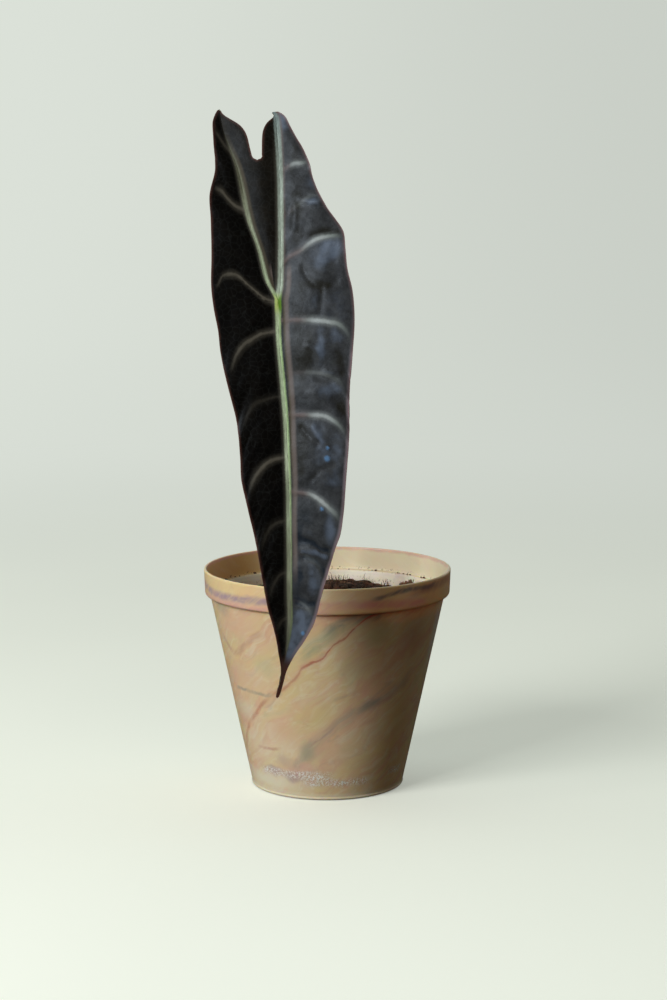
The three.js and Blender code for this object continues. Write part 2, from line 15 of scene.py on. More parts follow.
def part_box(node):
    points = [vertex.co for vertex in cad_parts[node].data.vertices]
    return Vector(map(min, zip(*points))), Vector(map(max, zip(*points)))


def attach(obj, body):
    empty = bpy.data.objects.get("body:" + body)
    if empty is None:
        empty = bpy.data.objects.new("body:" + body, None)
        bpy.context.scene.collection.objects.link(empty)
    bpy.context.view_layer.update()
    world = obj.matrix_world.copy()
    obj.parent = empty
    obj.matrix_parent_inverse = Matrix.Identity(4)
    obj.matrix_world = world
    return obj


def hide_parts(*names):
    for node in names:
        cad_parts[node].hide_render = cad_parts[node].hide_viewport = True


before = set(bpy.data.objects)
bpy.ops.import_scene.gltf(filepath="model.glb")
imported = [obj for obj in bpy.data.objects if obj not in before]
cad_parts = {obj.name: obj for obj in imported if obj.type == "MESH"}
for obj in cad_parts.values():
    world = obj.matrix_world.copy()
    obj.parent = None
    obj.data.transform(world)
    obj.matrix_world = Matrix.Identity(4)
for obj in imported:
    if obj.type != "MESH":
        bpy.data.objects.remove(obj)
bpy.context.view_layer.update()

MM = 0.001
FINE_MERGE = 0.004
FULL_TURN = 6.3

# The pot
POT_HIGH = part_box("pot")[1]
RIM_RADIUS = POT_HIGH.x / MM
POT_HEIGHT = POT_HIGH.z / MM
FOOT_RADIUS = 39.8
WALL = 1.4
COLLAR_HEIGHT = 13.6
COLLAR_STEP = 2.6
COLLAR_TAPER = 0.5
LEDGE_STEP = 2.4
BASE_THICKNESS = 1.8
COLLAR_FOOT = POT_HEIGHT - COLLAR_HEIGHT
LEDGE = COLLAR_FOOT + 1.3
SLOPE = (RIM_RADIUS - COLLAR_STEP - COLLAR_TAPER - FOOT_RADIUS) / COLLAR_FOOT
DRAIN_HOLES = 5
DRAIN_RADIUS = 4
DRAIN_CIRCLE = 25
DRILL_SIDES = 40
DRILL_LENGTH = 20
POT_STEPS = 240
WALL_STEP = 3

# The mix
MIX_LEVEL = 97
MIX_FLOOR = 2.1
MIX_STEPS = 200
CRUMBS = 620
LEDGE_CRUMBS = 26
BARK_BITS = 46
FIBRES = 130
BRISTLES = 170
HUSK_FIBRES = 64

# The plant
STEM_X, STEM_Y = -12, 8
RHIZOME_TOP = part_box("rhizome")[1].z / MM
RHIZOME_RADIUS = 7.5
RHIZOME_LENGTH = 34
STALK_TOP_RADIUS = 2.1
STALK_FOOT_RADIUS = 5
SHEATH_SHARE = 0.34

# The blade. A station is a distance down the blade from the junction, where the stalk meets it.
JUNCTION = (-23.5, -80, 260.7)
JUNCTION_LEAN = math.radians(12)
HANG_RADIUS = 790
DRIP_TIP = 194
LEFT_TIP = -94.6
RIGHT_TIP = -93.4
SINUS = -68.3
FOLD_LEFT = 0.42
FOLD_RIGHT = 0.36
FOLD_ROUND = 2
CURL = 0.004
QUILT = 1.2
WAVE = 1


def through(pairs):
    """A smooth curve through (station, value) pairs, whose slope is that between the neighbours."""
    at, value = np.array(pairs, float).T
    left = np.maximum(np.arange(len(at)) - 1, 0)
    right = np.minimum(np.arange(len(at)) + 1, len(at) - 1)
    slope = (value[right] - value[left]) / (at[right] - at[left])

    def line(x):
        x = np.asarray(x, float)
        i = np.clip(np.searchsorted(at, x, side="left") - 1, 0, len(at) - 2)
        span = at[i + 1] - at[i]
        t = np.clip((x - at[i]) / span, 0, 1)
        first, second, rise = slope[i] * span, slope[i + 1] * span, value[i + 1] - value[i]
        bend = t * (3 * rise - 2 * first - second + t * (first + second - 2 * rise))
        return value[i] + t * (first + bend)

    return line


def smoothstep(x, low, high):
    t = np.clip((np.asarray(x, float) - low) / (high - low), 0, 1)
    return t * t * (3 - 2 * t)


def deselect():
    bpy.ops.object.select_all(action="DESELECT")


def only(piece):
    """Makes the piece the one selected and active object."""
    deselect()
    piece.select_set(True)
    bpy.context.view_layer.objects.active = piece


def rows_of(piece, layer, field):
    """Three numbers for each point of the piece, one row each."""
    rows = np.empty(len(piece.data.vertices) * 3, np.float32)
    layer.foreach_get(field, rows)
    return rows.reshape(-1, 3).astype(float)


def points_of(piece):
    return rows_of(piece, piece.data.vertices, "co")


def move_points(piece, at):
    piece.data.vertices.foreach_set("co", np.asarray(at, np.float32).ravel())
    piece.data.update()


def write_attribute(piece, name, values):
    """Three numbers for each point, which the piece's material reads."""
    made = piece.data.attributes.new(name, "FLOAT_VECTOR", "POINT")
    made.data.foreach_set("vector", np.asarray(values, np.float32).ravel())


def read_attribute(piece, name):
    return rows_of(piece, piece.data.attributes[name].data, "vector")


def start_edit(piece, action="SELECT"):
    """Edit mode on the piece alone, with all of it or none of it selected."""
    only(piece)
    bpy.ops.object.mode_set(mode="EDIT")
    bpy.ops.mesh.select_all(action=action)


def end_edit():
    bpy.ops.object.mode_set(mode="OBJECT")


def face_outwards():
    """In edit mode: turns all the faces outwards."""
    bpy.ops.mesh.select_all(action="SELECT")
    bpy.ops.mesh.normals_make_consistent(inside=False)


def tidy_mesh(piece, merge=0.01):
    """Merges the points that lie together, and turns the faces outwards."""
    start_edit(piece)
    bpy.ops.mesh.remove_doubles(threshold=merge * MM)
    bpy.ops.mesh.dissolve_degenerate(threshold=0.2 * merge * MM)
    face_outwards()
    end_edit()


def smooth(piece, angle=60):
    only(piece)
    bpy.ops.object.shade_smooth_by_angle(angle=math.radians(angle))


def apply_modifier(piece, kind, **settings):
    only(piece)
    modifier = piece.modifiers.new(kind.lower(), kind)
    for name, value in settings.items():
        setattr(modifier, name, value)
    bpy.ops.object.modifier_apply(modifier=modifier.name)


def sheet_of(name, columns, rows):
    """A flat grid, with each point's column and row counted from nought."""
    deselect()
    bpy.ops.mesh.primitive_grid_add(x_subdivisions=columns, y_subdivisions=rows, size=1)
    piece = bpy.context.object
    piece.name = name
    at = points_of(piece)
    column = np.rint((at[:, 0] - at[:, 0].min()) / np.ptp(at[:, 0]) * columns).astype(int)
    row = np.rint((at[:, 1] - at[:, 1].min()) / np.ptp(at[:, 1]) * rows).astype(int)
    return piece, column, row


def turned(name, profile, steps):
    """A wall turned about +Z from (radius, height) points, closed where it ends on the axis."""
    deselect()
    bpy.ops.mesh.primitive_circle_add(vertices=len(profile), radius=1)
    piece = bpy.context.object
    piece.name = name
    outline = np.array([(r, 0, z) for r, z in profile]) * MM
    move_points(piece, outline)
    last = len(profile) - 1
    start_edit(piece, "DESELECT")
    end_edit()
    for edge in piece.data.edges:
        edge.select = set(edge.vertices) == {0, last}
    bpy.ops.object.mode_set(mode="EDIT")
    bpy.ops.mesh.select_mode(type="EDGE")
    bpy.ops.mesh.delete(type="EDGE")
    bpy.ops.mesh.select_mode(type="VERT")
    bpy.ops.mesh.select_all(action="SELECT")
    bpy.ops.mesh.spin(steps=steps, angle=2 * math.pi, center=(0, 0, 0), axis=(0, 0, 1))
    end_edit()
    tidy_mesh(piece)
    return piece


def rounded(profile, cut):
    """The profile with each of its corners cut back and rounded."""
    points = [Vector(p) for p in profile]
    out = [points[0]]
    for before, corner, after in zip(points, points[1:], points[2:]):
        back, on = before - corner, after - corner
        start = corner + back.normalized() * min(cut, 0.4 * back.length)
        end = corner + on.normalized() * min(cut, 0.4 * on.length)
        out += [start, (start + 2 * corner + end) / 4, end]
    return out + [points[-1]]


def stepped(profile, longest):
    """The profile with points added so that no stretch is longer than that."""
    out = [profile[0]]
    for start, end in zip(profile, profile[1:]):
        parts = max(math.ceil((end - start).length / longest), 1)
        out += [start.lerp(end, i / parts) for i in range(1, parts + 1)]
    return out


def joined(name, pieces):
    only(pieces[0])
    for piece in pieces:
        piece.select_set(True)
    bpy.ops.object.join()
    piece = bpy.context.object
    piece.name = name
    piece.data.name = name
    return piece


def mould_of_crumb(name, subdivisions, seed):
    """A rough crumb of radius 1 metre about the origin, to be copied."""
    deselect()
    bpy.ops.mesh.primitive_ico_sphere_add(subdivisions=subdivisions, radius=1)
    crumb = bpy.context.object
    crumb.name = name
    at = points_of(crumb)
    push = np.array([noise.noise(Vector(p) * 1.4 + Vector((seed, 0, 0))) for p in at])
    move_points(crumb, at * (1 + 0.5 * push)[:, None])
    return crumb


def mould_of_strand(name, sides, rings):
    """An upright tube of radius 1 metre with its rings 1 metre apart, to be copied."""
    deselect()
    bpy.ops.mesh.primitive_circle_add(vertices=sides, radius=1, fill_type="NGON")
    tube = bpy.context.object
    tube.name = name
    start_edit(tube)
    for _ in range(rings - 1):
        bpy.ops.mesh.extrude_region_move(TRANSFORM_OT_translate={"value": (0, 0, 1)})
    face_outwards()
    end_edit()
    return tube


def copied(mould, at, tone):
    """One more piece like the mould, with a mesh and a tone of its own, its points moved there."""
    piece = bpy.data.objects.new(mould.name, mould.data.copy())
    bpy.context.scene.collection.objects.link(piece)
    move_points(piece, np.asarray(at) * MM)
    write_attribute(piece, "tone", [tone] * len(at))
    return piece


def copied_along(mould, path, thick, thin, tone):
    """A copy of the strand mould that follows the path and tapers."""
    at = points_of(mould)
    ring = np.rint(at[:, 2]).astype(int)
    path = np.asarray(path, float)
    along = np.gradient(path, axis=0)
    along /= np.linalg.norm(along, axis=1)[:, None]
    across = np.cross(along, (0.31, 0.17, 0.93))
    across /= np.linalg.norm(across, axis=1)[:, None]
    up = np.cross(along, across)
    radius = np.linspace(thick, thin, len(path))[ring]
    out = across[ring] * at[:, :1] + up[ring] * at[:, 1:2]
    return copied(mould, path[ring] + radius[:, None] * out, tone)


def finished(piece, node, material):
    """Dresses the piece and lets it stand for its node of the frame."""
    piece.data.materials.clear()
    piece.data.materials.append(material)
    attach(piece, "root")
    if node:
        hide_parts(node)


# Shader nodes
class Value:
    """One output of a node. A sum or a product with it is written plainly, and is a node too."""

    def __init__(self, socket):
        self.socket = socket
        self.tree = socket.id_data

    def __add__(self, other):
        return calc("ADD", self, other)

    def __sub__(self, other):
        return calc("SUBTRACT", self, other)

    def __rsub__(self, other):
        return calc("SUBTRACT", other, self)

    def __mul__(self, other):
        return calc("MULTIPLY", self, other)

    def __truediv__(self, other):
        return calc("DIVIDE", self, other)

    def __abs__(self):
        return calc("ABSOLUTE", self)


def plug(value, socket):
    """Links a value to the socket, or sets a plain number or colour on it."""
    if isinstance(value, Value):
        value.tree.links.new(value.socket, socket)
    elif socket.type == "RGBA":
        socket.default_value = (*value, 1)
    else:
        socket.default_value = value


def feed(node, inputs):
    """Plugs each of the named inputs of the node."""
    for name, value in inputs.items():
        plug(value, node.inputs[name])


def node_in(tree, kind, inputs=None, **settings):
    """One node with its settings and inputs."""
    node = tree.nodes.new("ShaderNode" + kind)
    for name, value in settings.items():
        setattr(node, name, value)
    feed(node, inputs or {})
    return node


def wire(kind, inputs, out=0, **settings):
    """One output of a new node, beside the first of its inputs that is a value."""
    tree = next(value.tree for value in inputs.values() if isinstance(value, Value))
    return Value(node_in(tree, kind, inputs, **settings).outputs[out])


def calc(operation, *values, clamp=False):
    return wire("Math", dict(enumerate(values)), operation=operation, use_clamp=clamp)


def ramp(value, low, high, to_low=0.0, to_high=1.0, kind="SMOOTHSTEP"):
    """Runs from to_low to to_high as the value goes from low to high."""
    inputs = {
        "Value": value, "From Min": low, "From Max": high, "To Min": to_low, "To Max": to_high}
    return wire("MapRange", inputs, interpolation_type=kind)


def bump_at(value, middle, reach):
    """1 where the value is at the middle, smoothly down to 0 at the reach on both sides."""
    return ramp(abs(value - middle), reach, 0.15 * reach)


def tint(mask, below, above, blend="MIX"):
    """The colour below, with the one above laid over it where the mask is 1."""
    return wire("Mix", {0: mask, 6: below, 7: above}, 2, data_type="RGBA", blend_type=blend)


def painted(colour, *coats):
    """The colour with each coat, a mask and a colour, laid over it in turn."""
    for mask, above in coats:
        colour = tint(mask, colour, above)
    return colour


def dimmed(colour, factor):
    """The colour multiplied by one factor."""
    return tint(1.0, colour, wire("CombineColor", dict.fromkeys(range(3), factor)), "MULTIPLY")


def parts_of(vector):
    return [Value(output) for output in node_in(vector.tree, "SeparateXYZ", {0: vector}).outputs]


def carried(shader, name):
    """The three numbers that each point of the piece carries under that name."""
    node = node_in(shader.id_data, "Attribute", attribute_name=name)
    return parts_of(Value(node.outputs["Vector"]))


def distance_to_axis(x, y):
    flat = wire("CombineXYZ", {"X": x, "Y": y})
    return wire("VectorMath", {0: flat}, "Value", operation="LENGTH")


def drawn_out(vector, across, along):
    """The vector times one number in X and Y, and another in Z."""
    return wire("Mapping", {"Vector": vector, "Scale": (across, across, along)})


def moved(vector, location):
    return wire("Mapping", {"Vector": vector, "Location": location})


def speckle(vector, scale, detail=2.0, rough=0.5, distort=0.0, out="Fac"):
    inputs = {"Vector": vector, "Scale": scale, "Detail": detail, "Roughness": rough,
              "Distortion": distort}
    return wire("TexNoise", inputs, out)


def group_of(name, inputs, output, build):
    """A shared effect: a node group with a vector, the named inputs and one output."""
    tree = bpy.data.node_groups.new(name, "ShaderNodeTree")
    tree.interface.new_socket("Vector", in_out="INPUT", socket_type="NodeSocketVector")
    for label, value in inputs.items():
        socket = tree.interface.new_socket(label, in_out="INPUT", socket_type="NodeSocketFloat")
        socket.default_value = value
    tree.interface.new_socket(output, in_out="OUTPUT", socket_type="NodeSocketFloat")
    given = tree.nodes.new("NodeGroupInput").outputs
    result = tree.nodes.new("NodeGroupOutput").inputs
    plug(build(*(Value(given[label]) for label in ("Vector", *inputs))), result[output])
    return tree


def use(group, vector, **inputs):
    node = vector.tree.nodes.new("ShaderNodeGroup")
    node.node_tree = group
    feed(node, {"Vector": vector, **inputs})
    return Value(node.outputs[0])


def blotch_parts(place, scale, low, high):
    return ramp(speckle(place, scale, 4, 0.55, 0.6), low, high)


def grain_parts(place, scale):
    return speckle(place, scale, 3) * 0.65 + speckle(place, scale * 4.3, 2) * 0.35


def ridge_parts(place, scale, width):
    return ramp(abs(speckle(place, scale, 3, 0.5, 1.2) - 0.5), width, 0.0)


BLOTCH = group_of("blotch", {"Scale": 0.05, "Low": 0.45, "High": 0.62}, "Mask", blotch_parts)
GRAIN = group_of("grain", {"Scale": 1.0}, "Height", grain_parts)
RIDGE = group_of("ridge", {"Scale": 0.05, "Width": 0.03}, "Mask", ridge_parts)


def new_material(name, roughness=0.5):
    """A material, its surface shader and the piece's own place in millimetres."""
    material = bpy.data.materials.new(name)
    material.use_nodes = True
    shader = material.node_tree.nodes["Principled BSDF"]
    plug(roughness, shader.inputs["Roughness"])
    place = Value(node_in(shader.id_data, "TexCoord").outputs["Object"])
    return material, shader, wire("VectorMath", {0: place, "Scale": 1 / MM}, operation="SCALE")


def dress(shader, colour, height, distance, strength=1.0):
    """Gives the surface its colour, and its relief from the height."""
    relief = {"Height": height, "Distance": distance * MM, "Strength": strength}
    feed(shader, {"Base Color": colour, "Normal": wire("Bump", relief)})


# Marbled plastic
CREAM = (0.79, 0.615, 0.385)
YELLOW_CREAM = (0.775, 0.61, 0.31)
GREEN_CREAM = (0.66, 0.58, 0.345)
PEACH = (0.78, 0.52, 0.35)
SALMON = (0.70, 0.40, 0.29)
SALMON_BROWN = (0.54, 0.32, 0.225)
IVORY = (0.86, 0.78, 0.61)
PINK = (0.69, 0.41, 0.355)
ROSE = (0.50, 0.29, 0.26)
RED_VEIN = (0.47, 0.115, 0.085)
MAUVE_GREY = (0.38, 0.335, 0.305)
LILAC = (0.40, 0.30, 0.345)
REFLECTION_MAUVE = (0.78, 0.75, 0.73)
SEA_GREEN = (0.36, 0.41, 0.28)
SLATE = (0.20, 0.25, 0.245)
MAUVE_BROWN = (0.33, 0.20, 0.175)
INNER_WHITE = (0.82, 0.785, 0.70)
INNER_CREAM = (0.80, 0.74, 0.56)
INNER_SHADE_YELLOW = (0.60, 0.41, 0.13)
CRUST = (0.95, 0.93, 0.88)
SOIL_STAIN_AND_SHADE = (0.14, 0.07, 0.03)
TWIST = math.radians(1.3)
WARP = 16.0
FOOT_BEAD = (4.4, 2.6)
CURVE_REACH = 90
CURVE_HEIGHT = 125
STREAK_END = 0.012
STREAK_FADE = 0.03

# The main streaks, each as (degrees round from the front, height) points, with its half width,
# its colour and how strongly it shows
BODY_STREAKS = [
    ([(-34, 56.8), (-26, 60.5), (-17, 67.7), (-11.5, 74.6), (-4, 77.5), (0.5, 82.4), (4.4, 87.3),
      (12, 93.5), (16.7, 98), (21.5, 100.9), (33, 102.5)], 3.6, SALMON, 0.45),
    ([(-14, 80), (-5.5, 85.6), (1.4, 90.5), (8.5, 96.8), (18, 100),
      (30, 102)], 7.5, SEA_GREEN, 0.65),
    ([(-3, 92.5), (1.4, 94.6), (6.6, 97.2), (12, 100), (20.4, 101), (28, 101.6)], 4.2, SLATE, 0.5),
    ([(-13, 73.5), (-7.8, 76.4), (-4, 77.5), (0.5, 82.4), (4.4, 87.3), (8.8, 89.8), (12, 93.5),
      (16.7, 98), (21.5, 100.9), (33, 102.5)], 0.95, RED_VEIN, 0.75),
    ([(-34, 56.8), (-26, 60.5), (-17, 67.7), (-11.5, 74.6), (-6, 76.8)], 1.5, RED_VEIN, 0.4),
    ([(-28, 12), (-21.7, 17.6), (-16, 24.2), (-9.6, 31.2), (-1.3, 36.9), (4.7, 42.5), (13.5, 46.6),
      (20.5, 51), (30.4, 53.9), (41.6, 58.5), (54, 66.3)], 6.5, MAUVE_GREY, 0.33),
    ([(18, 49.5), (22, 51.5), (27, 53), (33, 55)], 4.0, SLATE, 0.5),
    ([(-12, 28.5), (-9.6, 31.2), (-1.3, 36.9), (6, 43)], 0.9, ROSE, 0.5),
    ([(-66, 56), (-61, 56.2), (-50, 56.6), (-41.7, 56.3), (-32, 56.8)], 1.5, SLATE, 0.5),
    ([(-72, 84), (-66.6, 81.2), (-59, 76.2), (-47, 82), (-38.7, 87.7),
      (-32, 90)], 3.0, SALMON_BROWN, 0.55),
    ([(-56, 39), (-52, 42), (-47, 45.6), (-41.5, 50.3), (-35, 55.5)], 2.6, RED_VEIN, 0.55),
    ([(-73, 20), (-69.4, 24.9), (-65, 30.7), (-59, 36.3), (-55, 39.5)], 2.4, RED_VEIN, 0.5),
    ([(-52, 25.5), (-48.4, 26), (-39, 26.3), (-30.7, 27.3)], 1.4, RED_VEIN, 0.4),
    ([(12, 57), (18.4, 61), (32, 71.8), (44.5, 78.7), (55.8, 83.3), (70, 90)], 8.0, SALMON, 0.6),
]
COLLAR_STREAKS = [
    ([(-88, 109), (-74, 107.8), (-56, 106.9), (-40, 107.4), (-20, 108.6),
      (-8, 108.2)], 3.4, LILAC, 1.0),
    ([(-88, 103.8), (-60, 103.4), (-40, 103.4), (-15, 104), (4, 104)], 3.2, PINK, 0.9),
    ([(-14, 112), (10, 112), (34, 112.5), (48, 110)], 9.0, IVORY, 0.65),
    ([(-14, 107), (0, 107.4), (17, 107.4), (35, 106.2), (52, 104.8)], 3.6, PINK, 0.9),
    ([(20, 109.8), (25, 110.8), (31.7, 112.2), (40.5, 112.8), (52, 112.8),
      (60, 113.2)], 2.0, SLATE, 0.9),
    ([(40, 110), (50, 111.5), (66, 112.5), (80, 112.5)], 3.6, MAUVE_BROWN, 0.55),
]

# Soft patches, each at (degrees round, height) with its half width and height, colour and strength
PATCHES = [
    ((-60, 63), (22, 9), PEACH, 0.75),
    ((-28, 37), (13, 9), PEACH, 0.75),
    ((-52, 92), (16, 9), PEACH, 0.75),
    ((-35, 72), (9, 6), GREEN_CREAM, 0.7),
    ((-57, 45), (14, 6), IVORY, 0.5),
    ((-8, 28.5), (9, 6), SLATE, 0.14),
    # A painted reflection: the pale mauve strip near the pot's right edge
    ((75, 86), (7, 26), REFLECTION_MAUVE, 0.6),
    ((-38, 26), (30, 12), IVORY, 0.35),
    ((-63, 99.5), (8, 4.5), SLATE, 0.4),
    ((-13, 26), (6, 7), SEA_GREEN, 0.6),
    ((-8, 48), (16, 8), YELLOW_CREAM, 0.6),
    ((14, 72), (12, 8), GREEN_CREAM, 0.6),
    ((25, 91), (10, 7), GREEN_CREAM, 0.9),
    ((6, 25), (13, 8), PEACH, 0.5),
    ((48, 87), (12, 11), SALMON_BROWN, 0.5),
    ((48, 45), (12, 14), YELLOW_CREAM, 0.5),
    ((-46, 8), (34, 6), IVORY, 0.9),
    ((-40, 14.5), (9, 3.2), LILAC, 0.6),
    ((-24, 12), (9, 2.8), LILAC, 0.55),
    ((-18, 17), (14, 4), PINK, 0.45),
    ((-30, 21), (7, 4), LILAC, 0.3),
]

# Rows of crust: height, half height, and the degrees between which each end fades
CRUST_ROWS = [
    (13.6, 3.4, (-56, -48), (8, -2)), (10, 3.4, (-22, -10), (34, 24)),
    (12.6, 3, (46, 52), (66, 60))]


def streak_line(share, height, points, width):
    """How far each point lies inside a streak that runs through the points, from 0 to 1."""
    curve = node_in(share.tree, "FloatCurve", {"Value": share})
    spots = curve.mapping.curves[0].points
    pairs = [(degrees / (2 * CURVE_REACH) + 0.5, z / CURVE_HEIGHT) for degrees, z in points]
    for x, y in pairs[1:-1]:
        spots.new(x, y)
    spots[0].location = pairs[0]
    spots[len(spots) - 1].location = pairs[-1]
    curve.mapping.update()
    off = abs(height - Value(curve.outputs[0]) * CURVE_HEIGHT)
    first, last = pairs[0][0], pairs[-1][0]
    return (ramp(off / width, 1.0, 0.1) * ramp(share, first - STREAK_END, first + STREAK_FADE)
            * ramp(share, last + STREAK_END, last - STREAK_FADE))


def marbled_plastic():
    material, shader, place = new_material("marbled_plastic")
    x, y, z = parts_of(place)
    degrees = calc("ARCTAN2", x, y * -1.0) * math.degrees(1)
    share = degrees / (2 * CURVE_REACH) + 0.5
    off_axis = distance_to_axis(x, y)
    off_cone = off_axis - z * SLOPE
    outer_side = ramp(off_cone, FOOT_RADIUS - 0.6, FOOT_RADIUS - 0.3)
    outer_rim = ramp(off_axis, RIM_RADIUS - 1.0, RIM_RADIUS - 0.8)
    above_foot = ramp(z, COLLAR_FOOT - 0.1, COLLAR_FOOT + 0.1)
    outer = outer_side * (1.0 - above_foot) + outer_rim * above_foot
    at_back = ramp(abs(degrees), 70.0, 95.0) * outer

    # The marbling winds round the pot: the noise is read in a frame that turns with the height
    wound = wire("VectorRotate", {"Vector": place, "Angle": z * -TWIST}, rotation_type="Z_AXIS")
    push = wire("VectorMath", {0: speckle(place, 0.05, 1.5, out="Color"), 1: (0.5, 0.5, 0.5)},
                operation="SUBTRACT")
    push = wire("VectorMath", {0: push, "Scale": WARP}, operation="SCALE")
    drawn = wire("VectorMath", {0: drawn_out(wound, 1, 0.55), 1: push}, operation="ADD")
    second, third = moved(drawn, (40, 13, 7)), moved(drawn, (-25, 31, 57))

    def cloud(vector, scale, low, high, strength):
        return use(BLOTCH, vector, Scale=scale, Low=low, High=high) * strength

    # Round the back, where nothing is placed by hand, the streaks come from the winding noise
    threads = use(RIDGE, second, Scale=0.03, Width=0.03)
    bands = use(RIDGE, third, Scale=0.028, Width=0.05)
    colour = painted(
        CREAM,
        (cloud(drawn, 0.05, 0.40, 0.62, 0.9), PEACH),
        (cloud(third, 0.055, 0.44, 0.60, 0.5), YELLOW_CREAM),
        (cloud(second, 0.06, 0.54, 0.68, 0.45), GREEN_CREAM),
        (cloud(second, 0.13, 0.50, 0.68, 0.4), SALMON),
        (cloud(drawn, 0.18, 0.48, 0.68, 0.45), IVORY),
        (cloud(third, 0.11, 0.56, 0.70, 0.2), MAUVE_GREY),
        (threads * cloud(place, 0.03, 0.48, 0.6, 0.4) * at_back, RED_VEIN),
        (bands * at_back * 0.22, MAUVE_GREY),
        (cloud(drawn, 0.04, 0.58, 0.74, 0.4) * at_back, SEA_GREEN))

    # The main patches and streaks are read at a slightly shaken place, so that they look drawn out
    shake = speckle(place, 0.13, 4, 0.6) - 0.5
    shaken, fuzz, rim_fuzz = (z + shake * reach for reach in (7.0, 3.0, 2.6))
    for (at, level), (wide, tall), patch, strength in PATCHES:
        across, up = (degrees - at) / wide, (shaken - level) / tall
        away = calc("SQRT", across * across + up * up)
        colour = tint(ramp(away, 1.35, 0.1, 0.0, strength), colour, patch)

    def streaked(colour, height, where, streaks):
        for points, width, streak, strength in streaks:
            mask = streak_line(share, height, points, width)
            colour = tint(mask * uneven * where * strength, colour, streak)
        return colour

    uneven = cloud(drawn, 0.16, 0.32, 0.6, 0.55) + 0.45
    on_body = ramp(z, COLLAR_FOOT + 0.6, COLLAR_FOOT - 0.2)
    colour = streaked(colour, fuzz, on_body, BODY_STREAKS)
    # Painted shade: a dark band on the body just under the collar's foot
    collar_shade = ramp(z, COLLAR_FOOT - 1.3, COLLAR_FOOT - 0.2) * on_body * 0.25

    # The collar: yellow cream at its top, with lilac, pink, rose and slate drawn out along it
    outside = ramp(off_axis, RIM_RADIUS - 1.05, RIM_RADIUS - 0.75)
    on_collar = ramp(z, COLLAR_FOOT + 0.1, COLLAR_FOOT + 0.6) * outside
    colour = painted(colour, (collar_shade, SOIL_STAIN_AND_SHADE), (on_collar * 0.55, YELLOW_CREAM))
    colour = streaked(colour, rim_fuzz, on_collar, COLLAR_STREAKS)
    level = z + (speckle(place, 0.03, 2) - 0.5) * 12.0

    # Above the foot, a crust of hard water in broken rows
    worms = ramp(abs(speckle(place, 0.5, 3, 0.6, 1.8) - 0.5), 0.085, 0.04)
    upper, lower, side_row = (
        bump_at(fuzz, height, reach) * ramp(degrees, *left) * ramp(degrees, *right)
        for height, reach, left, right in CRUST_ROWS)
    all_round = bump_at(fuzz, 11.0, 3.0) * at_back * 0.7
    rows = calc("ADD", upper + lower, side_row + all_round, clamp=True)
    crust = worms * rows * ramp(speckle(place, 1.2, 2), 0.40, 0.50)

    # Inside, the wall is whiter below the ledge, and soil has splashed on it. Above the ledge it is
    # painted darker and yellower on the left, as painted shade
    low_inside = (ramp(off_cone, FOOT_RADIUS - 0.5, FOOT_RADIUS - 0.9)
                  * ramp(z, LEDGE + 0.3, LEDGE - 0.2))
    high_inside = (ramp(off_axis, RIM_RADIUS - 0.9, RIM_RADIUS - 1.3)
                   * ramp(z, LEDGE - 0.2, LEDGE + 0.3))
    upper_wall = tint(ramp(x, -18.0, -46.0), INNER_CREAM, INNER_SHADE_YELLOW)
    within = calc("ADD", low_inside, high_inside, clamp=True)
    splash = ramp(speckle(place, 0.6, 4, 0.65), 0.59, 0.64)
    reach = calc("ADD", ramp(z, MIX_LEVEL + 6.0, MIX_LEVEL - 1.0), bump_at(z, LEDGE + 0.6, 1.6),
                 clamp=True)
    stain = reach * splash * within * 0.7
    colour = painted(
        colour,
        (bump_at(level, 107.0, 4.0) * on_collar * at_back * 0.6, PINK),
        (bump_at(level, 111.5, 3.0) * on_collar * at_back * 0.6, LILAC),
        (ramp(fuzz, *FOOT_BEAD) * 0.55, IVORY),
        (rows * 0.3, ROSE),
        (crust, CRUST),
        (low_inside * 0.75, INNER_WHITE),
        (low_inside * use(BLOTCH, place, Scale=0.06, Low=0.5, High=0.66) * 0.25, LILAC),
        (high_inside * 0.75, upper_wall),
        (bump_at(fuzz, 115.6, 2.2) * high_inside * 0.75, PINK),
        (stain, SOIL_STAIN_AND_SHADE))

    gloss = ramp(speckle(place, 0.3, 5, 0.7), 0.3, 0.7, 0.28, 0.4)
    feed(shader, {
        "Roughness": gloss + crust * 0.3, "Specular IOR Level": 0.42, "Subsurface Weight": 0.3,
        "Subsurface Scale": 1.0, "Subsurface Radius": (0.005, 0.0022, 0.0006)})
    height = use(GRAIN, place, Scale=0.3) * 0.25 + crust * 0.5 + stain * 0.4
    dress(shader, colour, height, 0.35, 0.6)
    return material


def outside_radius(z):
    return FOOT_RADIUS + SLOPE * z


def inside_radius(z):
    return outside_radius(z) - WALL


def pot_profile():
    collar = RIM_RADIUS - COLLAR_TAPER
    inner = RIM_RADIUS - WALL
    floor = BASE_THICKNESS
    recess = 0.9
    return [
        (0, 0), (11, 0), (12.5, recess), (FOOT_RADIUS - 5.5, recess), (FOOT_RADIUS - 4, 0),
        (FOOT_RADIUS - 0.8, 0), (FOOT_RADIUS + 0.25, 0.4), (FOOT_RADIUS + 0.6, 1.1),
        (FOOT_RADIUS + 0.35, 1.8), (outside_radius(2.6), 2.6),
        (outside_radius(COLLAR_FOOT), COLLAR_FOOT), (collar - 1.2, COLLAR_FOOT),
        (collar - 0.35, COLLAR_FOOT + 0.35), (collar, COLLAR_FOOT + 1.2),
        (RIM_RADIUS, POT_HEIGHT - 0.5), (RIM_RADIUS - 0.35, POT_HEIGHT), (inner + 0.3, POT_HEIGHT),
        (inner, POT_HEIGHT - 0.5), (inside_radius(LEDGE) + LEDGE_STEP, LEDGE + 0.6),
        (inside_radius(LEDGE) + LEDGE_STEP - 0.5, LEDGE), (inside_radius(LEDGE), LEDGE),
        (inside_radius(floor + 2), floor + 2), (inside_radius(floor) - 2, floor), (0, floor),
    ]


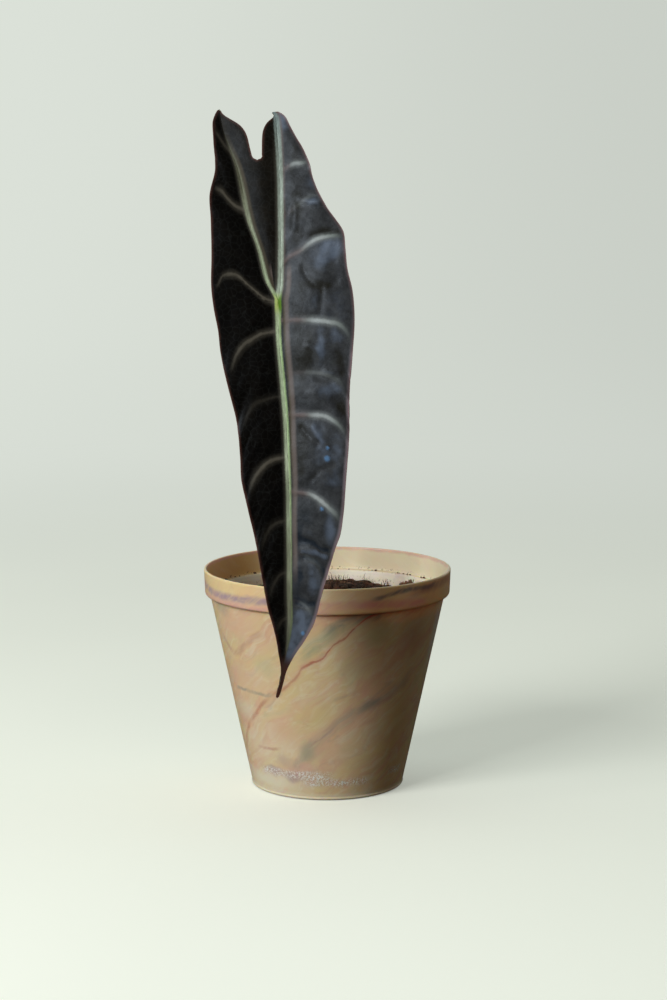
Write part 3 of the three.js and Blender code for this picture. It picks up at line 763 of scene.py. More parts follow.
def make_pot():
    pot = turned("pot_shell", stepped(rounded(pot_profile(), 0.5), WALL_STEP), POT_STEPS)
    drills = []
    for i in range(DRAIN_HOLES):
        angle = 2 * math.pi * (i + 0.5) / DRAIN_HOLES
        deselect()
        bpy.ops.mesh.primitive_cylinder_add(
            vertices=DRILL_SIDES, radius=DRAIN_RADIUS * MM, depth=DRILL_LENGTH * MM,
            location=(DRAIN_CIRCLE * MM * math.cos(angle), DRAIN_CIRCLE * MM * math.sin(angle), 0))
        drills.append(bpy.context.object)
    drill = joined("drill", drills)
    apply_modifier(pot, "BOOLEAN", operation="DIFFERENCE", solver="EXACT", object=drill)
    bpy.data.objects.remove(drill)
    smooth(pot, 40)
    finished(pot, "pot", marbled_plastic())


# Lines of the blade, each an offset to +X from the junction at a station
midrib = through([
    (0, 0), (20, 0.6), (58, 3.9), (116, 5.8), (150, 5.9), (163, 5), (171, 3.6), (180, 1.9),
    (187, 0.8), (193, -0.6), (DRIP_TIP, -0.8)])
left_costa = through([
    (LEFT_TIP, -29), (-83, -26.8), (-65, -20.1), (-39, -14.2), (-23, -9), (-8, -5), (0, 0)])
right_costa = through([
    (RIGHT_TIP, -2.9), (-92.5, -2.2), (-90, -1.3), (-75, 0), (-55, 1), (-8, 1.2), (0, 0)])
left_edge = through([
    (LEFT_TIP, -29), (-94.3, -29.8), (-93.6, -30.3), (-92, -31), (-88, -32), (-81, -31.7),
    (-75, -31.4), (-68, -30.7), (-62, -30.7), (-50, -33), (-38, -32.4), (-20, -31.9), (-5, -31.9),
    (6, -30.5), (16, -28.5), (25, -27.6), (34, -25.9), (43, -23.7), (52, -21.3), (58, -19.9),
    (66, -18.8), (76, -18), (86, -17.6), (96, -15.5), (104, -13.6), (118, -10.5), (134, -7.7),
    (148, -5.2), (163, -1.3), (172, 0.1), (180, 1.1), (187, 0.3), (193, -1.4), (DRIP_TIP, -0.8)])
right_edge = through([
    (RIGHT_TIP, -2.9), (-93.3, -0.6), (-92.9, 0.7), (-91.9, 2.2), (-90.4, 3.5), (-87, 5.2),
    (-80, 8.7), (-74, 12.1), (-66, 15.2), (-60, 16.6), (-53, 19.1), (-45, 23.1), (-38, 28),
    (-32, 31.6), (-24, 32.5), (-14, 33.5), (-4, 35.9), (8, 36.9), (20, 36.5), (45, 34.5),
    (62, 34.4), (72, 34), (84, 33), (98, 32.1), (107, 31.1), (113, 30), (119, 27.9), (140, 21.7),
    (155, 17.8), (165, 12.7), (172, 8.2), (180, 4.1), (187, 2.2), (193, 0.3), (DRIP_TIP, -0.8)])
left_inner_edge = through([
    (LEFT_TIP, -29), (-94.3, -28.2), (-93.6, -27.7), (-92.3, -26.6), (-91, -25), (-86.5, -18.7),
    (-82, -15.6), (-74, -13.5), (SINUS - 1, -12), (SINUS, -10)])
right_inner_edge = through([
    (RIGHT_TIP, -2.9), (-92.8, -3.2), (-91.9, -2.5), (-90.8, -2.6), (-87, -6), (-82, -7.8),
    (-71, -8.1), (SINUS - 1, -8.1), (SINUS, -10)])

# How far down or up the blade a row has run when it reaches the edge
left_run = through([
    (LEFT_TIP, 0), (-80, -9), (-43, -13), (-2, -10), (16, 22), (46, 24), (76, 22), (120, 16),
    (165, 5), (DRIP_TIP, 0)])
right_run = through([
    (RIGHT_TIP, 0), (-80, -5), (-61, -6), (-17, -12), (10, 12), (57, 9.5), (94, 13), (125, 13),
    (165, 5), (DRIP_TIP, 0)])

# How late a row turns towards the tip: in front of the junction, and in the lobes
left_late = through([(0, 3), (DRIP_TIP, 3)])
right_late = through([(0, 6), (57, 8), (94, 3), (DRIP_TIP, 3)])
left_early = through([(LEFT_TIP, 1), (-43, 0.8), (-2, 2), (0, 2)])
right_early = through([(RIGHT_TIP, 2), (0, 2)])

# Half the width of the pale core of each rib
midrib_core = through([
    (0, 1.6), (14, 1.4), (60, 1.4), (118, 1.35), (148, 1.35), (160, 1.2), (166, 0.9), (174, 0.45),
    (DRIP_TIP, 0.25)])
left_core = through([(LEFT_TIP, 0.25), (-80, 0.7), (-58, 1.4), (-42, 1.4), (-20, 1.25), (0, 1.6)])
right_core = through([(RIGHT_TIP, 1.2), (-86, 1.5), (-50, 1.45), (-20, 1.4), (0, 1.6)])

# Stations at which a side vein leaves its rib, with the vein's paleness
LEFT_VEINS = [
    (-70, 0.5), (-43, 1), (-2, 1), (16, 1), (46, 0.2), (76, 1), (106, 0.3), (132, 0.3), (154, 0.3)]
RIGHT_VEINS = [
    (-61, 0.7), (-39, 0.15), (-17, 1), (10, 1), (36, 0.2), (57, 1), (94, 1), (121, 0.1),
    (145, 0.15)]

# How strongly a side vein shows on its way from the rib, at 0, to the edge, at 1
left_course = through([(0, 0.75), (0.2, 1), (0.5, 1), (0.7, 0.8), (0.85, 0.4), (0.94, 0), (1, 0)])
right_course = through([(0, 0.5), (0.3, 0.6), (0.45, 1), (0.75, 1), (0.97, 0), (1, 0)])

# How far a side vein lies down the blade from its own row, by its share of the way to the edge
LEFT_SWAYS = {
    -70: [(0, -1), (0.5, -2.5), (1, -5)],
    -43: [(0, 0), (0.1, 0), (0.34, 1.2), (0.54, 0.5), (0.72, -0.8), (0.86, 0), (1, 0.5)],
    -2: [(0, 3.5), (0.2, 3), (0.32, 1.5), (0.44, 0), (0.56, -1.5), (0.7, -1.2), (0.82, 0),
        (0.9, 2.5), (1, 4)],
    16: [(0, -0.5), (0.12, -0.5), (0.32, 0), (0.5, 0.5), (0.68, 0), (0.8, 0), (0.9, 1), (1, 1)],
    46: [(0, 0.8), (0.14, 0.8), (0.44, 0.5), (0.7, -2.4), (1, -3)],
    76: [(0, 0), (0.14, 0.2), (0.36, 0.2), (0.58, -0.2), (0.76, -1), (0.9, -1.8), (1, -2)],
    106: [(0, 0), (0.3, 0.5), (0.7, -0.8), (1, 0)],
    132: [(0, 0), (0.4, -0.5), (0.8, 0.6), (1, 0)],
}
RIGHT_SWAYS = {
    -61: [(0, -1.5), (0.3, -1.5), (0.54, -1), (0.7, -0.2), (0.86, 0.2), (1, 0)],
    -39: [(0, 0), (0.4, 0.6), (0.8, -0.6), (1, 0)],
    -17: [(0, 0.5), (0.06, 0), (0.14, -0.8), (0.3, 0), (0.4, -0.8), (0.5, -1.5), (0.64, -1.5),
        (0.84, -1), (1, 0)],
    10: [(0, 0), (0.3, 0), (0.5, 0.4), (0.68, 0.5), (0.8, -0.2), (0.92, -0.2), (1, 0.8)],
    36: [(0, 0), (0.4, -0.8), (0.8, 0.6), (1, 0)],
    57: [(0, -1.5), (0.22, -1.5), (0.54, -1.2), (0.64, -0.8), (0.76, 0.5), (0.86, 1.2), (1, 1)],
    94: [(0, -1.5), (0.1, -1.5), (0.26, -1.2), (0.42, -1), (0.58, -0.2), (0.76, 0.5), (0.92, 0),
        (1, 0)],
    121: [(0, 0), (0.5, 0.7), (0.8, -0.4), (1, 0)],
}

HALVES = {
    "left": {"costa": left_costa, "edge": left_edge, "run": left_run, "late": left_late,
             "early": left_early, "veins": LEFT_VEINS, "tip": LEFT_TIP, "fold": FOLD_LEFT,
             "sways": LEFT_SWAYS, "core": left_core, "course": left_course, "side": -1,
             "wave": 0.5 * WAVE},
    "right": {"costa": right_costa, "edge": right_edge, "run": right_run, "late": right_late,
              "early": right_early, "veins": RIGHT_VEINS, "tip": RIGHT_TIP, "fold": FOLD_RIGHT,
              "sways": RIGHT_SWAYS, "core": right_core, "course": right_course, "side": 1,
              "wave": WAVE},
}

# Small folds of the skin between the veins, as (x, station) points: each a valley or a ridge
VALLEYS = [
    [(12.1, -15), (14.5, -9.5), (18.9, -5.4), (25.1, -5.5), (28.4, -8.6)],
    [(16.4, -30.7), (28.9, -32.1)],
    [(21.3, -4.7), (20.3, 5.8)],
    [(19.3, 38.1), (26.1, 38.8), (32.3, 34.7)],
    [(27, 48.2), (32.3, 54.4)],
    [(11.6, 61.9), (16.4, 67.6), (19.3, 69)],
    [(16, 86.3), (20.3, 81.9), (27, 79)],
    [(11.1, 115.8), (16.9, 117), (20.8, 120.2), (24.1, 120.6)],
    [(13, 123.9), (17.9, 125.6), (21.2, 128.9), (22.7, 132.2)],
    [(9.6, 146), (13.5, 147.2), (16.9, 146.5)],
]
RIDGES = [
    [(10.6, -48.3), (19.3, -46.5)],
    [(8.2, -46.1), (7.7, -34.8)],
    [(14.5, 22.3), (20.3, 24.9)],
    [(23.2, 35.4), (28.9, 36.5)],
    [(16.9, 61.4), (21.3, 68.6)],
    [(11.6, 121.1), (17.9, 121.3), (23.2, 123.5)],
]
CREASE_DEPTH = 0.6
CREASE_REACH = 1.6
FOLD_SHEEN_AND_SHADE = 0.9

# Where the skin gets a painted blue sheen, or painted dark shade below nought: x, station, half
# width, half length and strength
SHEEN_AND_SHADE = [
    (25.1, -23.7, 6.9, 5.2, 0.9), (19.3, -16.9, 3.9, 3.1, 0.6), (8.5, -46, 3.2, 9, -1),
    (15.5, -47.5, 4.4, 2.1, 0.5), (16.4, -56.7, 3.9, 3.6, 0.4), (22.7, -32.1, 6.9, 2.6, -0.8),
    (9.2, -28.8, 2.5, 4.7, -0.7), (18.4, -6.4, 6.9, 2.6, -0.9), (16.5, 1.8, 3.9, 6.2, 0.4),
    (28, 2.4, 4.4, 7.3, 0.35), (9.7, 0.4, 3.4, 9.4, -0.6), (11.6, 25.5, 5.4, 15.6, -1.1),
    (20.3, 22.5, 2.5, 10.4, 0.7), (28, 18, 3.9, 3.6, 0.6), (29.9, 29.9, 3.4, 6.8, -0.7),
    (25.1, 43, 6.9, 4.7, 0.5), (30.8, 51.6, 2.5, 4.7, -0.7), (18.4, 62.8, 4.9, 4.2, 0.4),
    (10.5, 69, 4, 9, -1.2), (21.3, 74.8, 3.9, 6.2, 0.5), (28.4, 72.4, 2.9, 8.3, 0.4),
    (11.1, 83, 2.9, 5.2, -0.5), (27, 86.6, 4.4, 3.6, 0.4), (13.5, 102.2, 3.9, 6.8, -0.8),
    (25.1, 110.5, 2.5, 6.8, 0.8), (14.5, 111.8, 3.9, 2.1, 0.4), (16.4, 129.1, 4.4, 4.2, 0.35),
    (17.4, 137.3, 2.9, 4.2, 0.7), (10.1, 134.2, 2.6, 6.2, -0.8), (11, 146, 4, 3, -0.7),
    (11.5, 152.7, 3.9, 4.2, 0.8), (6.5, 168, 4.5, 8, 0.9), (12, 159, 4, 3.5, 0.6),
    (1.7, -88.1, 2.9, 4.7, 0.9), (8, -69, 3.5, 8, -0.5), (10, 115, 2.5, 7, -0.8),
]

# The few small blisters that stand out of the skin, each with a painted blue glint: x, station and
# radius
BLISTERS = [(23.9, 71.4, 1.1), (23.7, 76.4, 1.7), (21.2, 100.5, 1.2), (12, 161.1, 1.2)]
BLISTER_HEIGHT = 0.35

LOBE_ROWS = 96
TIP_ROWS = (0.1, 0.25, 0.5, 0.8, 1.5)
NOTCH_ROWS = (0.04, 0.16, 0.36, 0.64)
FRONT_ROWS = 196
HALF_COLUMNS = 40
WEB_COLUMNS = 14
SHARES = (np.arange(HALF_COLUMNS + 1) / HALF_COLUMNS) ** 1.2
THICKNESS = 0.62
MARGIN_THICKNESS = 0.42


def placed(x, station, rise):
    """Points of the hanging blade, raised towards its front, in millimetres."""
    lean = JUNCTION_LEAN - station / HANG_RADIUS
    y = JUNCTION[1] - HANG_RADIUS * (np.cos(lean) - math.cos(JUNCTION_LEAN))
    z = JUNCTION[2] + HANG_RADIUS * (np.sin(lean) - math.sin(JUNCTION_LEAN))
    return np.stack([JUNCTION[0] + x, y - rise * np.cos(lean), z + rise * np.sin(lean)], axis=-1)


def rows_with(start, end, count, stops):
    """Evenly spaced stations, the nearest of them moved onto each of the stops."""
    rows = np.linspace(start, end, count + 1)
    for stop in stops:
        if start < stop < end:
            rows[1 + np.argmin(abs(rows[1:-1] - stop))] = stop
    return np.sort(rows)


def rib_size(station):
    away = np.where(station > 0, station / DRIP_TIP, 1.15 * station / LEFT_TIP)
    return np.maximum(1 - away, 0)


def noise_at(x, station, size, layer=0.0):
    """Soft noise from about -1 to 1 at places of the blade, with lumps of about that size."""
    spots = zip((x / size).ravel().tolist(), (station / size).ravel().tolist())
    found = [noise.noise((a, b, 0.37 * size + layer)) for a, b in spots]
    return np.array(found).reshape(x.shape)


def vein_phase(half, rows, shares):
    """A count that is a whole number on each side vein, the gap between the two veins round each
    point, and the paleness of the nearer one. Each vein sways a little on its way to the edge."""
    stops = [half["tip"], *[v[0] for v in half["veins"]], DRIP_TIP]
    power = np.array([0, *[v[1] for v in half["veins"]], 0], float)
    sways = {stop: through(points) for stop, points in half["sways"].items()}
    phase = np.empty((len(rows), len(shares)))
    gap = np.empty_like(phase)
    for i, share in enumerate(shares):
        course = [stop + float(sways[stop](share)) if stop in sways else stop for stop in stops]
        phase[:, i] = np.interp(rows, course, np.arange(len(stops)))
        gap[:, i] = np.diff(course)[np.minimum(phase[:, i].astype(int), len(stops) - 2)]
    return phase, gap, power[np.rint(phase).astype(int)]


def off_line(x, station, points):
    """The distance of each place from a line through the points."""
    best = np.full(x.shape, 1e3)
    for (x0, s0), (x1, s1) in zip(points, points[1:]):
        run, fall = x1 - x0, s1 - s0
        t = np.clip(((x - x0) * run + (station - s0) * fall) / (run ** 2 + fall ** 2), 0, 1)
        best = np.minimum(best, np.hypot(x - x0 - t * run, station - s0 - t * fall))
    return best


def blisters(x, station):
    """1 at the middle of each blister, falling smoothly to nought round it."""
    away = [np.hypot(x - x0, station - s0) / radius for x0, s0, radius in BLISTERS]
    return np.exp(-np.minimum.reduce(away) ** 2)


def folds(x, station, reach):
    """The small folds of the skin, from -1 in a valley to 1 on a ridge."""
    total = np.zeros(x.shape)
    for lines, sign in ((VALLEYS, -1), (RIDGES, 1)):
        for points in lines:
            total += sign * np.exp(-((off_line(x, station, points) / reach) ** 2))
    return total


def creases(x, station):
    """The small folds and blisters, above or below the skin."""
    return CREASE_DEPTH * folds(x, station, CREASE_REACH) + BLISTER_HEIGHT * blisters(x, station)


def sheen_and_shade_at(x, station):
    """How much painted blue sheen the skin gets, from -1 to 1, with painted dark shade below
    nought.
    """
    total = np.zeros(x.shape)
    for x0, s0, wide, long, strength in SHEEN_AND_SHADE:
        away = ((x - x0) / wide) ** 2 + ((station - s0) / long) ** 2
        total += strength * np.exp(-0.9 * away)
    # Painted shade in the valleys of the small folds, and painted sheen on their ridges
    total += FOLD_SHEEN_AND_SHADE * (0.4 + 0.6 * smoothstep(station, 85, 115)) * folds(x, station, 1.3)
    uneven = 1 + 0.7 * noise_at(x, station, 3.2, 2.0)
    return np.clip(total * uneven + 0.16 * noise_at(x, station, 6.0, 7.0), -1, 1)


def relief(distance, station, vein):
    """What the ribs and veins add in front of the blade and behind it."""
    size = rib_size(station)
    rib = np.exp(-((distance / (0.9 + 1.3 * size)) ** 2))
    boss = np.exp(-(distance ** 2 + station ** 2) / 18)
    front = rib * (0.15 + 0.45 * size) + 0.25 * vein + 0.3 * boss
    back = rib * (0.25 + 1.6 * size) + 0.6 * vein + 1.2 * boss
    return front, back


def nearest_edge(x, station, edge_x, edge_station):
    """The distance of each place from the points of an edge."""
    away = [np.hypot(x - a, station - b) for a, b in zip(edge_x, edge_station)]
    return np.minimum.reduce(away)


def write_fields(piece, row, column, fields):
    for name, values in fields.items():
        write_attribute(piece, name, np.stack([v[row, column] for v in values], axis=-1))


def half_of_blade(name, rows):
    """One outer half, from its ribs to its edge, and what its material has to know."""
    half = HALVES[name]
    piece, column, row = sheet_of("blade_" + name, HALF_COLUMNS, len(rows) - 1)
    station, share = np.meshgrid(rows, SHARES, indexing="ij")
    rib = np.where(station > 0, midrib(station), half["costa"](station))
    reach = half["run"](station)
    edge = half["edge"](station + reach)
    front = smoothstep(station, -10, 10)
    late = share ** half["late"](station)
    early = 1 - (1 - share) ** half["early"](station)
    x = rib + (edge - rib) * share
    down = station + reach * (front * late + (1 - front) * early)
    width = abs(edge - rib)
    distance = width * share
    phase, gap, paleness = vein_phase(half, rows, SHARES)
    between = phase % 1
    along = np.stack([np.gradient(x, rows, axis=0), np.gradient(down, rows, axis=0)])
    across = np.stack([np.gradient(x, SHARES, axis=1), np.gradient(down, SHARES, axis=1)])
    area = abs(along[0] * across[1] - along[1] * across[0])
    spacing = gap * area / np.maximum(np.hypot(*across), 1e-3)
    off_vein = abs((phase + 0.5) % 1 - 0.5) * spacing

    taper = np.minimum(width / 16, 1)
    arch = abs(np.sin(math.pi * between))
    puff = (0.35 * arch ** 2 + 0.65 * arch) * np.sin(math.pi * share ** 0.8)
    wave = np.sin(2 * math.pi * between + 0.8) * share ** 3
    curl = half["fold"] * (np.hypot(distance, FOLD_ROUND) - FOLD_ROUND) - CURL * distance ** 2
    fine = 0.5 * noise_at(x, station, 9.0) + 0.22 * noise_at(x, station, 3.6)
    fine = fine * np.sin(math.pi * np.minimum(share * 1.4, 1) / 2)
    rise = curl + taper * (QUILT * puff + half["wave"] * wave + fine + creases(x, down))
    power = paleness * half["course"](share) * np.minimum(width / 8, 1)
    vein = np.exp(-((off_vein / 1.3) ** 2)) * np.maximum(paleness, 0.3) * taper * (1 - share ** 4)
    front_rise, back_rise = relief(distance, station, vein)

    off_edge = nearest_edge(x, down, x[:, -1], down[:, -1])
    core = np.where(station > 0, midrib_core(station), half["core"](station))
    on_midrib = (share == 0) & (station >= 0)
    side = half["side"] * np.where(on_midrib, 0, 1)
    flank = half["side"] * (share > 0)
    move_points(piece, (placed(x, down, rise) * MM)[row, column])
    write_fields(piece, row, column, {
        "veins": (phase, spacing, power),
        "ribs": (distance, flank, core),
        "plan": (x, down, share),
        "lie": (off_edge, side, sheen_and_shade_at(x, down)),
        "raise": (front_rise, back_rise, blisters(x, down))})
    return piece


def web_of_blade(lobe, rows):
    """One half of the web between the two costae, which the sinus parts from the other half."""
    piece, column, row = sheet_of("web_" + lobe, WEB_COLUMNS, len(rows) - 1)
    at_left = lobe == "left"
    first = 0 if at_left else WEB_COLUMNS
    shares = np.arange(first, first + WEB_COLUMNS + 1) / (2 * WEB_COLUMNS)
    station, share = np.meshgrid(rows, shares, indexing="ij")
    left_station = station * LEFT_TIP / RIGHT_TIP
    left, right = left_costa(left_station), right_costa(station)
    whole = left + (right - left) * share
    notch = np.sqrt(np.clip(SINUS - station, 0, 1))
    middle = 0.5 * (left + right)
    wanted = left_inner_edge(left_station) if at_left else right_inner_edge(station)
    inner = np.where(station > SINUS - 1, middle + notch * (wanted - middle), wanted)
    if at_left:
        parted = left + (inner - left) * 2 * share
    else:
        parted = right - (right - inner) * 2 * (1 - share)
    x = np.where(station < SINUS, parted, whole)
    from_left, from_right = x - left, right - x
    across = np.maximum(from_left + from_right, 1e-6)
    distance = np.minimum(from_left, from_right)
    rise = FOLD_LEFT * from_left * from_right / across
    rise = rise + 0.5 * noise_at(x, station, 7.0) * np.minimum(distance / 6, 1)
    at = left_station if at_left else station
    down = at + (station - at) * share
    front_rise, back_rise = relief(distance, station, 0 * x)
    rim = station[:, 0] < SINUS
    last = -1 if at_left else 0
    edge = (np.append(inner[rim, last], middle[~rim, 0][:1]), np.append(down[rim, last], SINUS))
    off_edge = np.minimum(nearest_edge(x, down, *edge), 30)
    core = np.where(share < 0.5, left_core(left_station), right_core(station))
    nothing = 0 * x
    move_points(piece, (placed(x, down, rise) * MM)[row, column])
    write_fields(piece, row, column, {
        "veins": (nothing + 0.5, nothing + 50, nothing),
        "ribs": (distance, np.where(distance > 0, np.sign(0.5 - share), 0), core),
        "plan": (x, down, nothing),
        "lie": (off_edge, 2 * share - 1, nothing),
        "raise": (front_rise, back_rise, nothing)})
    return piece


def make_blade():
    tip = LEFT_TIP / RIGHT_TIP
    stops = [v[0] for v in RIGHT_VEINS] + [v[0] / tip for v in LEFT_VEINS if v[0] < 0]
    lobe_rows = rows_with(RIGHT_TIP, 0, LOBE_ROWS, [*stops, SINUS])
    more_rows = [RIGHT_TIP + run for run in TIP_ROWS] + [SINUS - run for run in NOTCH_ROWS]
    lobe_rows = np.sort(np.concatenate([lobe_rows, more_rows]))
    front_rows = rows_with(0, DRIP_TIP, FRONT_ROWS, [v[0] for v in LEFT_VEINS + RIGHT_VEINS])
    pieces = [
        half_of_blade("left", np.concatenate([lobe_rows * tip, front_rows[1:]])),
        half_of_blade("right", np.concatenate([lobe_rows, front_rows[1:]])),
        web_of_blade("left", lobe_rows),
        web_of_blade("right", lobe_rows),
    ]
    blade = joined("leaf_blade_fine", pieces)
    tidy_mesh(blade, FINE_MERGE)
    count = len(blade.data.vertices)
    apply_modifier(blade, "SOLIDIFY", thickness=THICKNESS * MM, offset=0.0, use_even_offset=False)
    at, outward = points_of(blade), rows_of(blade, blade.data.vertices, "normal")
    first_is_front = outward[:count, 1].mean() < 0
    front = np.zeros(len(at))
    front[:count] = 1.0 if first_is_front else 0.0
    front[count:] = 0.0 if first_is_front else 1.0
    raised, lie = read_attribute(blade, "raise"), read_attribute(blade, "lie")
    thin = 0.5 * (THICKNESS - MARGIN_THICKNESS) * smoothstep(lie[:, 0], 2.5, 0)
    lift = np.where(front > 0.5, raised[:, 0], raised[:, 1]) * smoothstep(lie[:, 0], 0, 1) - thin
    move_points(blade, at + outward * lift[:, None] * MM)
    write_attribute(blade, "face", np.stack([front, raised[:, 2], 0 * front], axis=-1))
    blade.data.attributes.remove(blade.data.attributes["raise"])
    smooth(blade, 75)
    finished(blade, "leaf_blade", leaf_skin())


# Leaf skin
LEFT_DARK_SHADE = (0.0025, 0.0019, 0.0012)
RIGHT_DARK_SHEEN = (0.034, 0.038, 0.043)
WEB_DARK = (0.0085, 0.0075, 0.0055)
SHEEN_BLUE = (0.096, 0.127, 0.182)
TIP_BROWN = (0.065, 0.024, 0.016)
GLINT_BLUE = (0.10, 0.22, 0.42)
SHADE_OLIVE = (0.014, 0.0135, 0.009)
SHADE_NAVY = (0.008, 0.014, 0.024)
VEIN_SILVER = (0.24, 0.29, 0.29)
VEIN_WHITE = (0.40, 0.46, 0.48)
VEIN_ROSE = (0.21, 0.16, 0.155)
VEIN_OLIVE = (0.155, 0.148, 0.122)
ROSE_HIGHLIGHT = (0.15, 0.125, 0.115)
RIB_GROOVE_SHADE = (0.058, 0.054, 0.024)
RIB_HALO = (0.12, 0.12, 0.10)
RIB_BROWN_SHADE = (0.085, 0.074, 0.048)
LIME_PALE = (0.42, 0.55, 0.17)
LIME_AND_SHADE = (0.11, 0.24, 0.02)
CORE_SHADE_GREEN = (0.78, 0.95, 0.62)
MARGIN_BROWN = (0.12, 0.055, 0.045)
MARGIN_PINK = (0.25, 0.16, 0.17)
MARGIN_MAUVE = (0.20, 0.175, 0.205)
BACK_MAROON = (0.105, 0.035, 0.042)
BACK_GREEN = (0.105, 0.10, 0.055)
BACK_RIB = (0.27, 0.36, 0.13)

# The colours of the ribs' pale cores, by station
MIDRIB_COLOURS = [
    (-2, (0.42, 0.54, 0.32)), (17, (0.46, 0.60, 0.40)), (52, (0.44, 0.57, 0.39)),
    (75, (0.47, 0.58, 0.42)), (105, (0.33, 0.41, 0.29)), (125, (0.30, 0.35, 0.25)),
    (148, (0.20, 0.22, 0.155)), (164, (0.13, 0.145, 0.105)), (173, (0.035, 0.024, 0.015)),
    (186, (0.03, 0.016, 0.011)), (DRIP_TIP, (0.085, 0.024, 0.015))]
RIGHT_COLOURS = [
    (RIGHT_TIP, (0.20, 0.27, 0.28)), (-80, (0.25, 0.32, 0.30)), (-50, (0.36, 0.45, 0.40)),
    (-10, (0.40, 0.50, 0.42))]
LEFT_COLOURS = [
    (LEFT_TIP, (0.008, 0.007, 0.005)), (-84, (0.02, 0.018, 0.012)), (-74, (0.085, 0.09, 0.062)),
    (-55, (0.15, 0.165, 0.115)), (-35, (0.27, 0.32, 0.23)), (-10, (0.33, 0.42, 0.28))]
COURSE_START = -100
COURSE_LENGTH = 300


def colours_along(station, stops):
    """A colour that runs through the (station, colour) stops."""
    share = ramp(station, COURSE_START, COURSE_START + COURSE_LENGTH, kind="LINEAR")
    node = node_in(share.tree, "ValToRGB", {"Fac": share})
    elements = node.color_ramp.elements
    while len(elements) < len(stops):
        elements.new(0.5)
    for element, (place, colour) in zip(elements, stops):
        element.position = (place - COURSE_START) / COURSE_LENGTH
        element.color = (*colour, 1)
    return Value(node.outputs["Color"])


